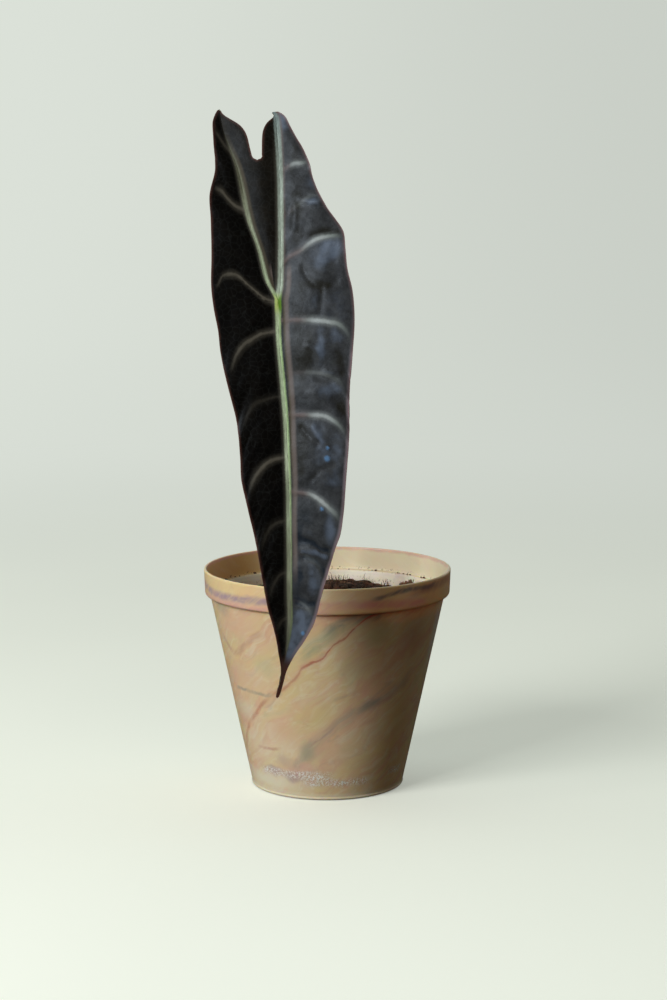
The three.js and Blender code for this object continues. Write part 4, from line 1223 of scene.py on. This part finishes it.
def leaf_skin():
    material, shader, place = new_material("leaf_skin", 0.36)
    phase, spacing, power = carried(shader, "veins")
    rib_away, flank, core_width = carried(shader, "ribs")
    _, station, share = carried(shader, "plan")
    edge_away, side, sheen_and_shade_mark = carried(shader, "lie")
    faces_front, blistered, _ = carried(shader, "face")
    shake = speckle(place, 0.35, 4, 0.6) - 0.5
    fine = speckle(place, 1.3, 3, 0.6) - 0.5

    # The ground of the front: nearly black on the left, partly as painted shade, and olive black on
    # the right, lightened there by painted sheen
    on_right = ramp(side, 0.98, 1.0)
    on_web = ramp(abs(side), 1.0, 0.85) * ramp(rib_away, 0.0, 0.8)
    ground = painted(LEFT_DARK_SHADE, (on_right, RIGHT_DARK_SHEEN), (on_web, WEB_DARK))
    ground = dimmed(ground, ramp(speckle(place, 0.16, 5, 0.65), 0.38, 0.62, 0.75, 1.25))
    shaken_sheen_and_shade = sheen_and_shade_mark + shake * on_right * 0.5
    shade_colour = tint(ramp(station, 85.0, 120.0), SHADE_OLIVE, SHADE_NAVY)
    blister = ramp(blistered, 0.25, 0.9)

    # The fine net of the smallest veins
    net = wire("TexVoronoi", {"Vector": place, "Scale": 0.33}, "Distance",
               feature="DISTANCE_TO_EDGE")
    netting = ramp(net, 0.06, 0.0)

    # Side veins: rosy near the rib and silver farther out, olive grey on the left
    vein_off = abs(calc("FRACT", phase + 0.5) - 0.5) * spacing + shake * 1.1
    bright = ramp(share, 0.3, 0.5) * ramp(share, 0.85, 0.6)
    vein_colour = painted(VEIN_SILVER, (ramp(share, 0.5, 0.22), VEIN_ROSE), (bright, VEIN_WHITE))
    vein_colour = tint(on_right, VEIN_OLIVE, vein_colour)
    line = ramp(vein_off, ramp(side, -0.5, 0.5, 1.2, 1.5), 0.2) * power
    haze = ramp(vein_off, 3.2, 0.3) * power

    # The margin: a thin pinkish rim on the right, a browner one on the left
    margin = ramp(edge_away + shake * 1.2, 1.7, 0.2)
    rim = ramp(edge_away, 0.7, 0.2)
    off_tip = ramp(station, 178.0, 166.0, 0.12, 1.0)
    band = (ramp(edge_away, 2.2, 0.8) * on_right * off_tip
            * ramp(station, -30.0, 105.0, 0.15, 0.7))

    # Beside the ribs: a halo; painted shade in the groove right of the midrib and on the right
    # flank of the left costa; and a painted rosy highlight along the shoulder right of the midrib
    # and of the right costa
    in_front = ramp(station, -6.0, 2.0)
    right_flank, left_flank = ramp(flank, 0.3, 0.9), ramp(flank, -0.3, -0.9)
    at_right_costa = ramp(side, -0.05, 0.05)
    of_right_costa = at_right_costa * (1.0 - in_front)
    of_left_costa = ramp(side, 0.05, -0.05) * (1.0 - in_front)
    off = rib_away + fine * 0.35
    flank_lean = (ramp(station, 90.0, 130.0, 0.15, 0.6) * ramp(station, 158.0, 142.0)
                  * in_front)
    over = off - core_width + (right_flank - left_flank) * flank_lean
    beside = (off - ramp(station, 68.0, 38.0, 0.0, 0.8)
              + ramp(station, 85.0, 108.0, 0.0, 0.9))
    # Painted shade in the groove to the right of the midrib
    dark = bump_at(beside, 2.25, 1.2) * right_flank * in_front * ramp(station, 96.0, 72.0)
    shoulder_highlight = (bump_at(beside, 3.3, 1.9) * right_flank * ramp(station, -19.0, -12.0)
                * ramp(station, 142.0, 120.0))
    halo = (ramp(over, 2.0, 0.0) * left_flank * ramp(station, -90.0, -60.0)
            * ramp(station, 172.0, 150.0))
    costa_highlight = ramp(over, 1.5, 0.1) * right_flank * of_right_costa
    flank_shade = (ramp(over, 2.3, 0.6) * right_flank * of_left_costa
             * ramp(station, -86.0, -66.0, 0.1, 1.0))

    # The pale cores of the ribs, darker and greener on the right of the midrib as painted shade,
    # and the lime green joint, deep lime on its right as painted shade
    core_colour = tint(
        in_front,
        tint(at_right_costa, *(colours_along(station, s) for s in (LEFT_COLOURS, RIGHT_COLOURS))),
        colours_along(station, MIDRIB_COLOURS))
    shaded_side = right_flank * in_front * ramp(rib_away, 0.1, 0.6)
    core_colour = tint(shaded_side * 0.65, core_colour, CORE_SHADE_GREEN, "MULTIPLY")
    streaks = speckle(drawn_out(place, 1.6, 0.12), 1.0, 3)
    core_colour = dimmed(core_colour, ramp(streaks, 0.3, 0.7, 0.8, 1.12))
    at_joint = bump_at(station, 2.0, 6.5) * ramp(off, 2.3, 1.3)
    core = ramp(over, 0.55, -0.6)
    colour = painted(
        ground,
        # Painted blue sheen on the right, and painted dark shade where the mark is below nought
        (ramp(shaken_sheen_and_shade, 0.02, 0.95, 0.0, 0.85) * on_right, SHEEN_BLUE),
        (ramp(shaken_sheen_and_shade, -0.05, -0.8, 0.0, 0.8) * on_right, shade_colour),
        # A painted blue glint on each blister
        (blister * 0.9, GLINT_BLUE),
        (netting * 0.03, VEIN_SILVER),
        (haze * 0.3, vein_colour),
        (line * 0.62, vein_colour),
        (margin * off_tip * 0.4, MARGIN_BROWN),
        (band, MARGIN_MAUVE),
        (rim * off_tip * 0.7, tint(on_right, MARGIN_BROWN, MARGIN_PINK)),
        (ramp(station, 171.0, 180.0, 0.0, 0.85), TIP_BROWN),
        (halo * 0.5, RIB_HALO),
        (costa_highlight * 0.6, ROSE_HIGHLIGHT),
        (flank_shade * 0.7, RIB_BROWN_SHADE),
        (dark * 0.75, RIB_GROOVE_SHADE),
        (shoulder_highlight * 0.75, ROSE_HIGHLIGHT),
        (core, core_colour),
        # Deep lime on the joint's right, as painted shade
        (at_joint, tint(right_flank, LIME_PALE, LIME_AND_SHADE)))

    # The back: maroon between green ribs and veins
    back_power = ramp(power + ramp(share, 0.95, 0.6) * 0.4, 0.0, 1.0)
    under = painted(
        BACK_MAROON,
        (ramp(speckle(place, 0.07, 3), 0.4, 0.65), BACK_GREEN),
        (netting * 0.2, BACK_RIB),
        (ramp(vein_off, 1.7, 0.2) * back_power * 0.85, BACK_RIB),
        (ramp(over, 0.9, 0.2), BACK_RIB),
        (rim * 0.6, MARGIN_PINK))

    smear = ramp(speckle(place, 0.22, 4, 0.6), 0.3, 0.7, 0.33, 0.46)
    gloss = smear + ramp(side, 0.6, -0.9, 0.0, 0.14) - blister * 0.2 + core * 0.08
    feed(shader, {
        "Roughness": gloss, "Specular IOR Level": 0.15, "Specular Tint": (0.72, 0.84, 1.0)})
    height = use(GRAIN, place, Scale=1.4) * 0.22 + net * 0.5 + line * 0.3
    dress(shader, tint(ramp(faces_front, 0.3, 0.7), under, colour), height, 0.3, 0.5)
    return material


# The stalk, by the way it takes from the top of the stem
FINE_STEPS = 40
STALK_COURSE = [
    (0, 0, -2), (-0.6, -1.5, 24), (-3, -12, 70), (-6.5, -36, 117), (-10, -66, 146)]


def stalk_points():
    foot = RHIZOME_TOP + 0.3
    top = placed(np.array([0.0]), np.array([0.0]), np.array([-0.6]))[0]
    course = [Vector((STEM_X + x, STEM_Y + y, foot + z)) for x, y, z in STALK_COURSE]
    return [*course, Vector(top)]


def smooth_path(points, steps):
    """Evenly spaced points of a smooth path, whose knots are spaced by the root of their gaps."""
    ends = [2 * points[0] - points[1], *points, 2 * points[-1] - points[-2]]
    fine = []
    for p0, p1, p2, p3 in zip(ends, ends[1:], ends[2:], ends[3:]):
        k0, k1, k2 = ((b - a).length ** 0.5 for a, b in ((p0, p1), (p1, p2), (p2, p3)))
        start = ((p1 - p0) / k0 - (p2 - p0) / (k0 + k1) + (p2 - p1) / k1) * k1
        end = ((p2 - p1) / k1 - (p3 - p1) / (k1 + k2) + (p3 - p2) / k2) * k1
        for i in range(FINE_STEPS):
            t = i / FINE_STEPS
            fine.append((2 * t ** 3 - 3 * t ** 2 + 1) * p1 + (t ** 3 - 2 * t ** 2 + t) * start
                        + (3 * t ** 2 - 2 * t ** 3) * p2 + (t ** 3 - t ** 2) * end)
    fine.append(points[-1])
    at = np.array(fine)
    run = np.concatenate([[0], np.cumsum(np.linalg.norm(np.diff(at, axis=0), axis=1))])
    even = np.linspace(0, run[-1], steps + 1)
    return np.stack([np.interp(even, run, at[:, k]) for k in range(3)], axis=-1)


def stalk_radius(share, angle):
    taper = through([
        (0, STALK_FOOT_RADIUS), (0.12, STALK_FOOT_RADIUS - 0.4),
        (SHEATH_SHARE, STALK_FOOT_RADIUS - 1.5),
        (0.7, STALK_TOP_RADIUS + 0.5), (0.95, STALK_TOP_RADIUS), (1, STALK_TOP_RADIUS + 0.5)])
    sheath = smoothstep(SHEATH_SHARE - share, 0, SHEATH_SHARE * 0.8) * smoothstep(share, 0, 0.07)
    front = abs(angle - 1.5 * math.pi)
    groove = np.exp(-((front / 0.3) ** 2))
    wings = np.exp(-(((front - 0.75) / 0.24) ** 2))
    ribbing = 0.012 * np.cos(22 * angle) * smoothstep(share, 0.02, 0.15)
    return taper(share) * (1 + sheath * (0.3 * wings - 0.32 * groove) + ribbing)


def make_stalk():
    steps, sides = 150, 88
    path = smooth_path(stalk_points(), steps)
    along = np.gradient(path, axis=0)
    along /= np.linalg.norm(along, axis=1)[:, None]
    across = np.array([1.0, 0, 0]) - along * along[:, :1]
    across /= np.linalg.norm(across, axis=1)[:, None]
    up = np.cross(along, across)
    stalk, column, row = sheet_of("petiole_fine", sides, steps)
    angle = 2 * math.pi * column / sides
    share = row / steps
    radius = stalk_radius(share, angle)
    at = path[row] + radius[:, None] * (
        across[row] * np.cos(angle)[:, None] + up[row] * np.sin(angle)[:, None])
    foot = RHIZOME_TOP - 0.4
    at[:, 2] = np.maximum(at[:, 2], foot)
    move_points(stalk, at * MM)
    write_attribute(stalk, "tone", np.stack([share, radius, angle], axis=-1))
    tidy_mesh(stalk, FINE_MERGE)
    start_edit(stalk)
    bpy.ops.mesh.fill_holes(sides=0)
    face_outwards()
    end_edit()
    smooth(stalk, 60)
    finished(stalk, "petiole", stalk_skin())


STALK_GREEN = (0.20, 0.27, 0.09)
STALK_PALE = (0.36, 0.42, 0.19)
STALK_BROWN = (0.13, 0.065, 0.04)
SHEATH_PAPER = (0.34, 0.26, 0.15)


def stalk_skin():
    material, shader, place = new_material("stalk_skin", 0.42)
    share, _, _ = carried(shader, "tone")
    cloud = speckle(drawn_out(place, 1.0, 0.16), 0.8, 4, 0.6)
    bands = speckle(drawn_out(place, 1.0, 0.7), 0.35, 4, 0.65, 1.2)
    colour = painted(
        STALK_GREEN,
        (ramp(cloud, 0.35, 0.65), STALK_PALE),
        (ramp(bands, 0.5, 0.6, 0.0, 0.85), STALK_BROWN),
        (ramp(share, 0.14, 0.0) * 0.6, SHEATH_PAPER),
        (ramp(share, 0.95, 1.0, 0.0, 0.8), LIME_AND_SHADE))
    height = speckle(drawn_out(place, 3.2, 0.1), 1.0, 3) + bands * 0.5
    dress(shader, colour, height, 0.25, 0.5)
    return material


def make_rhizome():
    """The short stem: turned with its ring scars, then roughened, with torn sheath bases."""
    foot = RHIZOME_TOP - RHIZOME_LENGTH
    scars, rings = 6, 60
    profile = [(0, foot), (RHIZOME_RADIUS * 0.6, foot)]
    for i in range(rings + 1):
        share = i / rings
        waist = 0.6 * (0.5 + 0.5 * math.cos(2 * math.pi * scars * share)) ** 2
        belly = 1 - 0.22 * (2 * share - 1.1) ** 2
        profile.append((RHIZOME_RADIUS * belly - waist, foot + 2.5 + share * (RHIZOME_LENGTH - 5)))
    profile += [(STALK_FOOT_RADIUS + 0.9, RHIZOME_TOP), (0, RHIZOME_TOP)]
    stem = turned("rhizome_fine", profile, 96)
    at = points_of(stem) / MM
    angle = np.arctan2(at[:, 1], at[:, 0])
    radius = np.hypot(at[:, 0], at[:, 1])
    rough = np.array([
        noise.noise((3 * math.cos(a), 3 * math.sin(a), 0.25 * z)) for a, z in zip(angle, at[:, 2])])
    strand = 0.14 * np.cos(26 * angle + 3 * rough)
    swell = np.where(radius > 1, (0.55 * rough + strand) / np.maximum(radius, 1), 0)
    at[:, :2] *= (1 + swell)[:, None]
    ragged = smoothstep(at[:, 2], RHIZOME_TOP - 3, RHIZOME_TOP) * smoothstep(radius, 3, 5.6)
    at[:, 2] += ragged * 0.9 * np.sin(5 * angle + 1.0) ** 2
    at[:, :2] += (STEM_X, STEM_Y)
    move_points(stem, at * MM)
    smooth(stem, 60)
    finished(stem, "rhizome", rhizome_skin())


BARK_DARK = (0.055, 0.032, 0.017)
BARK_TAN = (0.25, 0.16, 0.085)


def rhizome_skin():
    material, shader, place = new_material("rhizome_skin", 0.75)
    fibre = speckle(drawn_out(place, 1.4, 0.25), 1.0, 5, 0.65)
    ring = use(BLOTCH, place, Scale=0.5, Low=0.45, High=0.6)
    colour = painted(BARK_DARK, (ramp(fibre, 0.35, 0.65), BARK_TAN), (ring * 0.5, STALK_GREEN))
    dress(shader, colour, fibre, 0.5, 0.8)
    return material


# The mix
def mix_top(x, y):
    lumps = 1.1 * np.sin(0.21 * x + 0.6) * np.cos(0.17 * y + 1.1)
    small = 0.7 * np.sin(0.47 * x - 0.31 * y + 2) * np.cos(0.39 * y + 0.22 * x)
    bank = 1.6 * np.exp(-((x - 4) ** 2 + (y - 44) ** 2) / 300)
    dip = 1.5 * np.exp(-((x - 34) ** 2 + (y - 20) ** 2) / 500)
    return MIX_LEVEL + lumps + small + bank - dip


SHOULDER = MIX_LEVEL - 3.5
MIX_EDGE = inside_radius(SHOULDER) - 0.33


def make_mix():
    low = inside_radius(MIX_FLOOR + 2) - 0.6
    profile = [(0, MIX_FLOOR), (low - 2, MIX_FLOOR), (low, MIX_FLOOR + 2), (MIX_EDGE, SHOULDER)]
    rings = 56
    profile += [(i / rings * (MIX_EDGE - 0.1), MIX_LEVEL) for i in range(rings, -1, -1)]
    mix = turned("mix_fine", profile, MIX_STEPS)
    at = points_of(mix) / MM
    on_top = at[:, 2] > MIX_LEVEL - 1
    x, y = at[on_top, 0], at[on_top, 1]
    crumble = np.array([
        noise.fractal((a * 0.28, b * 0.28, 1.7), 0.9, 2.1, 5) for a, b in zip(x, y)])
    banked = 0.9 * smoothstep(np.hypot(x - STEM_X, y - STEM_Y), 14, 7)
    at[on_top, 2] = mix_top(x, y) + 1.3 * crumble + banked
    move_points(mix, at * MM)
    smooth(mix, 80)
    finished(mix, "potting_mix", mix_look())


PEAT = (0.018, 0.0105, 0.007)
PEAT_BROWN = (0.06, 0.028, 0.015)
COIR_RED = (0.22, 0.085, 0.045)
COIR_TAN = (0.26, 0.15, 0.07)


def mix_look():
    material, shader, place = new_material("mix_look", 0.92)
    lump = speckle(place, 0.35, 5, 0.7)
    rust = use(BLOTCH, place, Scale=0.09, Low=0.52, High=0.64)
    colour = painted(PEAT, (ramp(lump, 0.35, 0.65), PEAT_BROWN), (rust * 0.7, COIR_RED))
    dress(shader, colour, use(GRAIN, place, Scale=1.1), 1.2)
    return material


def toned_look(name, roughness, dark=PEAT_BROWN, light=COIR_TAN):
    """The look of the crumbs and fibres: each has its own tone, with a grain over it."""
    material, shader, place = new_material(name, roughness)
    pale, red, _ = carried(shader, "tone")
    colour = painted(dark, (pale, light), (red, COIR_RED))
    grain = use(GRAIN, place, Scale=1.6)
    dress(shader, dimmed(colour, ramp(grain, 0.3, 0.7, 0.6, 1.3)), grain, 0.6, 0.9)
    return material


def turned_points(at, spin, tip):
    """Points turned about X by tip, then about Z by spin."""
    c, s = math.cos(tip), math.sin(tip)
    at = at @ np.array([[1, 0, 0], [0, c, s], [0, -s, c]])
    c, s = math.cos(spin), math.sin(spin)
    return at @ np.array([[c, s, 0], [-s, c, 0], [0, 0, 1]])


def spot_in(draw, reach):
    angle = draw.uniform(0, 2 * math.pi)
    radius = reach * math.sqrt(draw.random())
    return radius * math.cos(angle), radius * math.sin(angle)


CHIP_X, CHIP_Y = 42, 33


def is_clear(x, y, margin):
    from_stem = math.hypot(x - STEM_X, y - STEM_Y)
    from_chip = math.hypot(x - CHIP_X, y - CHIP_Y)
    return from_stem > RHIZOME_RADIUS + margin and from_chip > 4.5 + margin


def heaped(name, pieces, moulds, angle, node, look):
    """Joins the copies into one finished piece, and throws their moulds away."""
    heap = joined(name, pieces)
    for mould in moulds:
        bpy.data.objects.remove(mould)
    smooth(heap, angle)
    finished(heap, node, look)


def make_crumbs():
    """Loose crumbs of the mix, with a few that were washed onto the pot's inside ledge."""
    draw = random.Random(41)
    small = [mould_of_crumb("small_crumb", 1, seed) for seed in range(5)]
    large = [mould_of_crumb("large_crumb", 2, seed + 9) for seed in range(4)]
    pieces = []
    while len(pieces) < CRUMBS:
        size = 0.5 + 2.3 * draw.random() ** 3
        x, y = spot_in(draw, MIX_EDGE - 1.2 - size)
        mould = draw.choice(large if size > 1.3 else small)
        stretch = np.array([
            1 + 0.5 * draw.random(), 0.75 + 0.3 * draw.random(), 0.5 + 0.3 * draw.random()])
        spin, tip = draw.uniform(0, FULL_TURN), draw.uniform(-0.5, 0.5)
        tone = (draw.random(), 0.7 * draw.random() ** 3, 0)
        if not is_clear(x, y, size):
            continue
        at = turned_points(points_of(mould) * size * stretch, spin, tip)
        pieces.append(copied(mould, at + (x, y, float(mix_top(x, y)) + 0.25 * size), tone))
    ledge_radius = inside_radius(LEDGE) + 0.5 * LEDGE_STEP
    for _ in range(LEDGE_CRUMBS):
        size = 0.25 + 0.4 * draw.random()
        angle = math.radians(draw.uniform(20, 160))
        radius = ledge_radius + draw.uniform(-0.5, 0.3)
        mould = draw.choice(small)
        at = turned_points(points_of(mould) * size * (1.2, 1, 0.8), draw.uniform(0, FULL_TURN), 0)
        spot = (radius * math.cos(angle), radius * math.sin(angle), LEDGE + 0.55 * size)
        pieces.append(copied(mould, at + spot, (draw.random(), 0.3 * draw.random(), 0)))
    heaped("mix_crumbs", pieces, small + large, 50, None,
           toned_look("crumb_look", 0.9, PEAT, PEAT_BROWN))


def make_bark():
    """Flat bits of bark and husk, lying and standing in the mix."""
    draw = random.Random(7)
    mould = mould_of_crumb("bark_bit", 2, 3)
    shape = points_of(mould)
    boxy = np.sign(shape) * np.abs(shape) ** 0.6
    pieces = []
    while len(pieces) < BARK_BITS:
        size = 1.4 + 1.8 * draw.random()
        x, y = spot_in(draw, MIX_EDGE - 2.5 - size)
        stretch = np.array([1.35, 0.6 + 0.3 * draw.random(), 0.22])
        spin, tip = draw.uniform(0, FULL_TURN), draw.uniform(-0.9, 0.9)
        tone = (0.5 + 0.5 * draw.random(), draw.random() ** 2, 0)
        if not is_clear(x, y, size + 1):
            continue
        at = turned_points(boxy * size * stretch, spin, tip)
        pieces.append(copied(mould, at + (x, y, float(mix_top(x, y)) + 0.5), tone))
    heaped("mix_bark", pieces, [mould], 40, None, toned_look("bark_look", 0.85))


def curved(start, heading, reach, height, sway, steps=7):
    """A strand's path from its root: out by reach, up by height, and bowed sideways by sway."""
    out = []
    for i in range(steps):
        share = i / (steps - 1)
        side = sway * math.sin(math.pi * share)
        out.append((
            start[0] + math.cos(heading) * reach * share - math.sin(heading) * side,
            start[1] + math.sin(heading) * reach * share + math.cos(heading) * side,
            start[2] + height * math.sin(0.5 * math.pi * share)))
    return out


# Where short bristles of coir stand up in tufts: x, y and the tuft's half width
TUFTS = [(4, 42, 5), (10, 44, 4), (20, 40, 6), (32, 34, 4), (-26, 34, 5), (26, -20, 6)]


def make_fibres():
    draw = random.Random(19)
    mould = mould_of_strand("coir_fibre", 5, 7)
    pieces = []

    def add(x, y, reach, height, sway, thick, tone):
        heading = draw.uniform(0, 2 * math.pi)
        end = (x + math.cos(heading) * reach, y + math.sin(heading) * reach)
        if not is_clear(x, y, 3) or math.hypot(*end) > MIX_EDGE - 2.5:
            return
        root = (x, y, float(mix_top(x, y)) - 0.8)
        path = curved(root, heading, reach, height, sway)
        pieces.append(copied_along(mould, path, thick, 0.3 * thick, tone))

    while len(pieces) < FIBRES:
        x, y = spot_in(draw, MIX_EDGE - 6)
        upright = draw.random() < 0.55
        height = draw.uniform(3, 8.5) if upright else draw.uniform(0.6, 2.2)
        reach = draw.uniform(0.5, 3.5) if upright else draw.uniform(4, 9)
        tone = (0.5 * draw.random(), draw.random() ** 2, 0)
        add(x, y, reach, height, draw.uniform(-1.6, 1.6), draw.uniform(0.11, 0.24), tone)
    while len(pieces) < FIBRES + BRISTLES:
        tuft_x, tuft_y, wide = draw.choice(TUFTS)
        x, y = draw.gauss(tuft_x, 0.5 * wide), draw.gauss(tuft_y, 0.35 * wide)
        tone = (0.12 * draw.random(), draw.random() ** 3, 0)
        add(x, y, draw.uniform(0.3, 2.2), draw.uniform(2.5, 7), draw.uniform(-0.7, 0.7),
            draw.uniform(0.11, 0.2), tone)
    heaped("mix_fibres", pieces, [mould], 80, None, toned_look("fibre_look", 0.8))


def make_chip():
    """The husk chip: split fibres pressed into a ragged wedge that leans on the wall."""
    draw = random.Random(5)
    length, height, thickness = 9.5, 6.0, 2.6
    mould = mould_of_strand("husk_fibre", 6, 6)
    to_wall = math.atan2(CHIP_Y, CHIP_X)
    base = np.array([CHIP_X, CHIP_Y, float(mix_top(CHIP_X, CHIP_Y)) + 0.9])
    across = np.array([math.sin(to_wall), -math.cos(to_wall), 0.0])
    out = np.array([math.cos(to_wall), math.sin(to_wall), 0.0])
    pieces = []
    for i in range(HUSK_FIBRES):
        share = draw.random()
        depth = draw.uniform(-0.5, 0.5)
        tall = height * (1 - 0.55 * share) * draw.uniform(0.78, 1.05)
        root = base + across * (0.5 - share) * length + out * (depth * thickness + 0.4)
        path = []
        for k in range(6):
            t = k / 5
            wobble = 0.25 * math.sin(9 * share + 5 * t + i)
            upward = np.array([0, 0, -1.2 + (tall + 1.2) * t])
            path.append(root + upward + across * wobble + out * 0.2 * tall * t)
        thick = draw.uniform(0.28, 0.55)
        tone = (0.75 * draw.random(), draw.random() ** 2, 0)
        pieces.append(copied_along(mould, path, thick, thick * draw.uniform(0.25, 0.7), tone))
    look = toned_look("husk_look", 0.85)
    heaped("husk_chip_fine", pieces, [mould], 60, "husk_chip", look)


# The studio
BACKDROP = (0.665, 0.705, 0.645)
FLOOR_PAINT = (0.72, 0.76, 0.70)
FLOOR_RADIUS = 3.0
COVE_RADIUS = 1.6
WALL_TOP = 4.5


def make_studio():
    """A pale floor that curves up into a wall all round, far behind the pot."""
    profile = [(0, 0), (0.2, 0), (0.6, 0), (1.2, 0), (2.0, 0), (FLOOR_RADIUS, 0)]
    for i in range(1, 13):
        angle = 0.5 * math.pi * i / 12
        out, up = COVE_RADIUS * math.sin(angle), COVE_RADIUS * (1 - math.cos(angle))
        profile.append((FLOOR_RADIUS + out, up))
    profile.append((FLOOR_RADIUS + COVE_RADIUS, WALL_TOP))
    floor = turned("studio_floor", [(r / MM, z / MM) for r, z in profile], 96)
    start_edit(floor)
    bpy.ops.mesh.flip_normals()
    end_edit()
    smooth(floor, 60)
    material, shader, place = new_material("studio_paint", 0.9)
    x, y, _ = parts_of(place)
    far = ramp(distance_to_axis(x, y), 250.0, 1500.0)
    patch = ramp(speckle(place, 0.002, 2), 0.3, 0.7, 0.97, 1.03)
    # The paint also glows, as painted light: more towards the far wall, and brighter on the left
    # than on the right
    glow = (far * 0.58 + 0.42) * ramp(x, -900.0, 900.0, 1.07, 0.88)
    feed(shader, {
        "Base Color": dimmed(FLOOR_PAINT, patch * (1.0 - far)), "Specular IOR Level": 0.0,
        "Emission Color": dimmed(BACKDROP, glow), "Emission Strength": 1.0})
    floor.data.materials.clear()
    floor.data.materials.append(material)
    for unseen_by in ("diffuse", "glossy", "transmission", "shadow"):
        setattr(floor, "visible_" + unseen_by, False)


def make_light(name, place, target, size, watts, colour):
    """A soft rectangular light that faces the target."""
    data = bpy.data.lights.new(name, "AREA")
    data.shape = "RECTANGLE"
    data.size, data.size_y = size
    data.energy = watts
    data.color = colour
    light = bpy.data.objects.new(name, data)
    light.location = place
    light.visible_camera = False
    light.rotation_euler = (Vector(target) - Vector(place)).to_track_quat("-Z", "Y").to_euler()
    bpy.context.scene.collection.objects.link(light)


WINDOW_PLACE = (-1.125, -1.105, 0.817)
WINDOW_TARGET = (0, 0, 0.18)
WINDOW_SIZE = (0.85, 0.9)
WINDOW_WATTS = 27
WINDOW_COLOUR = (1.0, 0.985, 0.95)
WALL_LIGHT = (0.55, 0.60, 0.57)
ROOM_LIGHT = (0.17, 0.135, 0.095)
BELOW_LIGHT = (0.021, 0.013, 0.007)


def make_world():
    """A bright pale wall behind the pot, and a dim room in front of it."""
    world = bpy.data.worlds.new("studio_air")
    bpy.context.scene.world = world
    world.use_nodes = True
    tree = world.node_tree
    x, y, z = parts_of(Value(node_in(tree, "TexCoord").outputs["Generated"]))
    degrees = calc("ARCTAN2", x, y * -1.0) * math.degrees(1)
    wall = calc("ADD", ramp(degrees, 100.0, 116.0), ramp(degrees, -88.0, -104.0), clamp=True)
    sides = ramp(degrees, 20.0, -60.0, 1.0, 0.8) * ramp(degrees, 30.0, 75.0, 1.0, 0.4)
    colour = painted(
        BELOW_LIGHT,
        (ramp(z, -0.05, 0.05), dimmed(ROOM_LIGHT, sides)),
        (wall * ramp(z, -0.12, -0.02), WALL_LIGHT))
    plug(colour, tree.nodes["Background"].inputs["Color"])


CAMERA_PLACE = (0.00323, -1.150, 0.321)
CAMERA_PITCH = math.radians(8.39)
FOCAL_PIXELS = 2213
PICTURE_HEIGHT = 1000
SENSOR = 36


def make_camera():
    data = bpy.data.cameras.new("camera")
    data.sensor_width = SENSOR
    data.lens = FOCAL_PIXELS * SENSOR / PICTURE_HEIGHT
    camera = bpy.data.objects.new("camera", data)
    camera.location = CAMERA_PLACE
    camera.rotation_euler = (0.5 * math.pi - CAMERA_PITCH, 0, 0)
    bpy.context.scene.collection.objects.link(camera)
    bpy.context.scene.camera = camera


bpy.context.scene.view_settings.view_transform = "Standard"
make_camera()
make_pot()
make_mix()
make_crumbs()
make_bark()
make_fibres()
make_chip()
make_rhizome()
make_stalk()
make_blade()
make_studio()
make_world()
make_light("window", WINDOW_PLACE, WINDOW_TARGET, WINDOW_SIZE, WINDOW_WATTS, WINDOW_COLOUR)
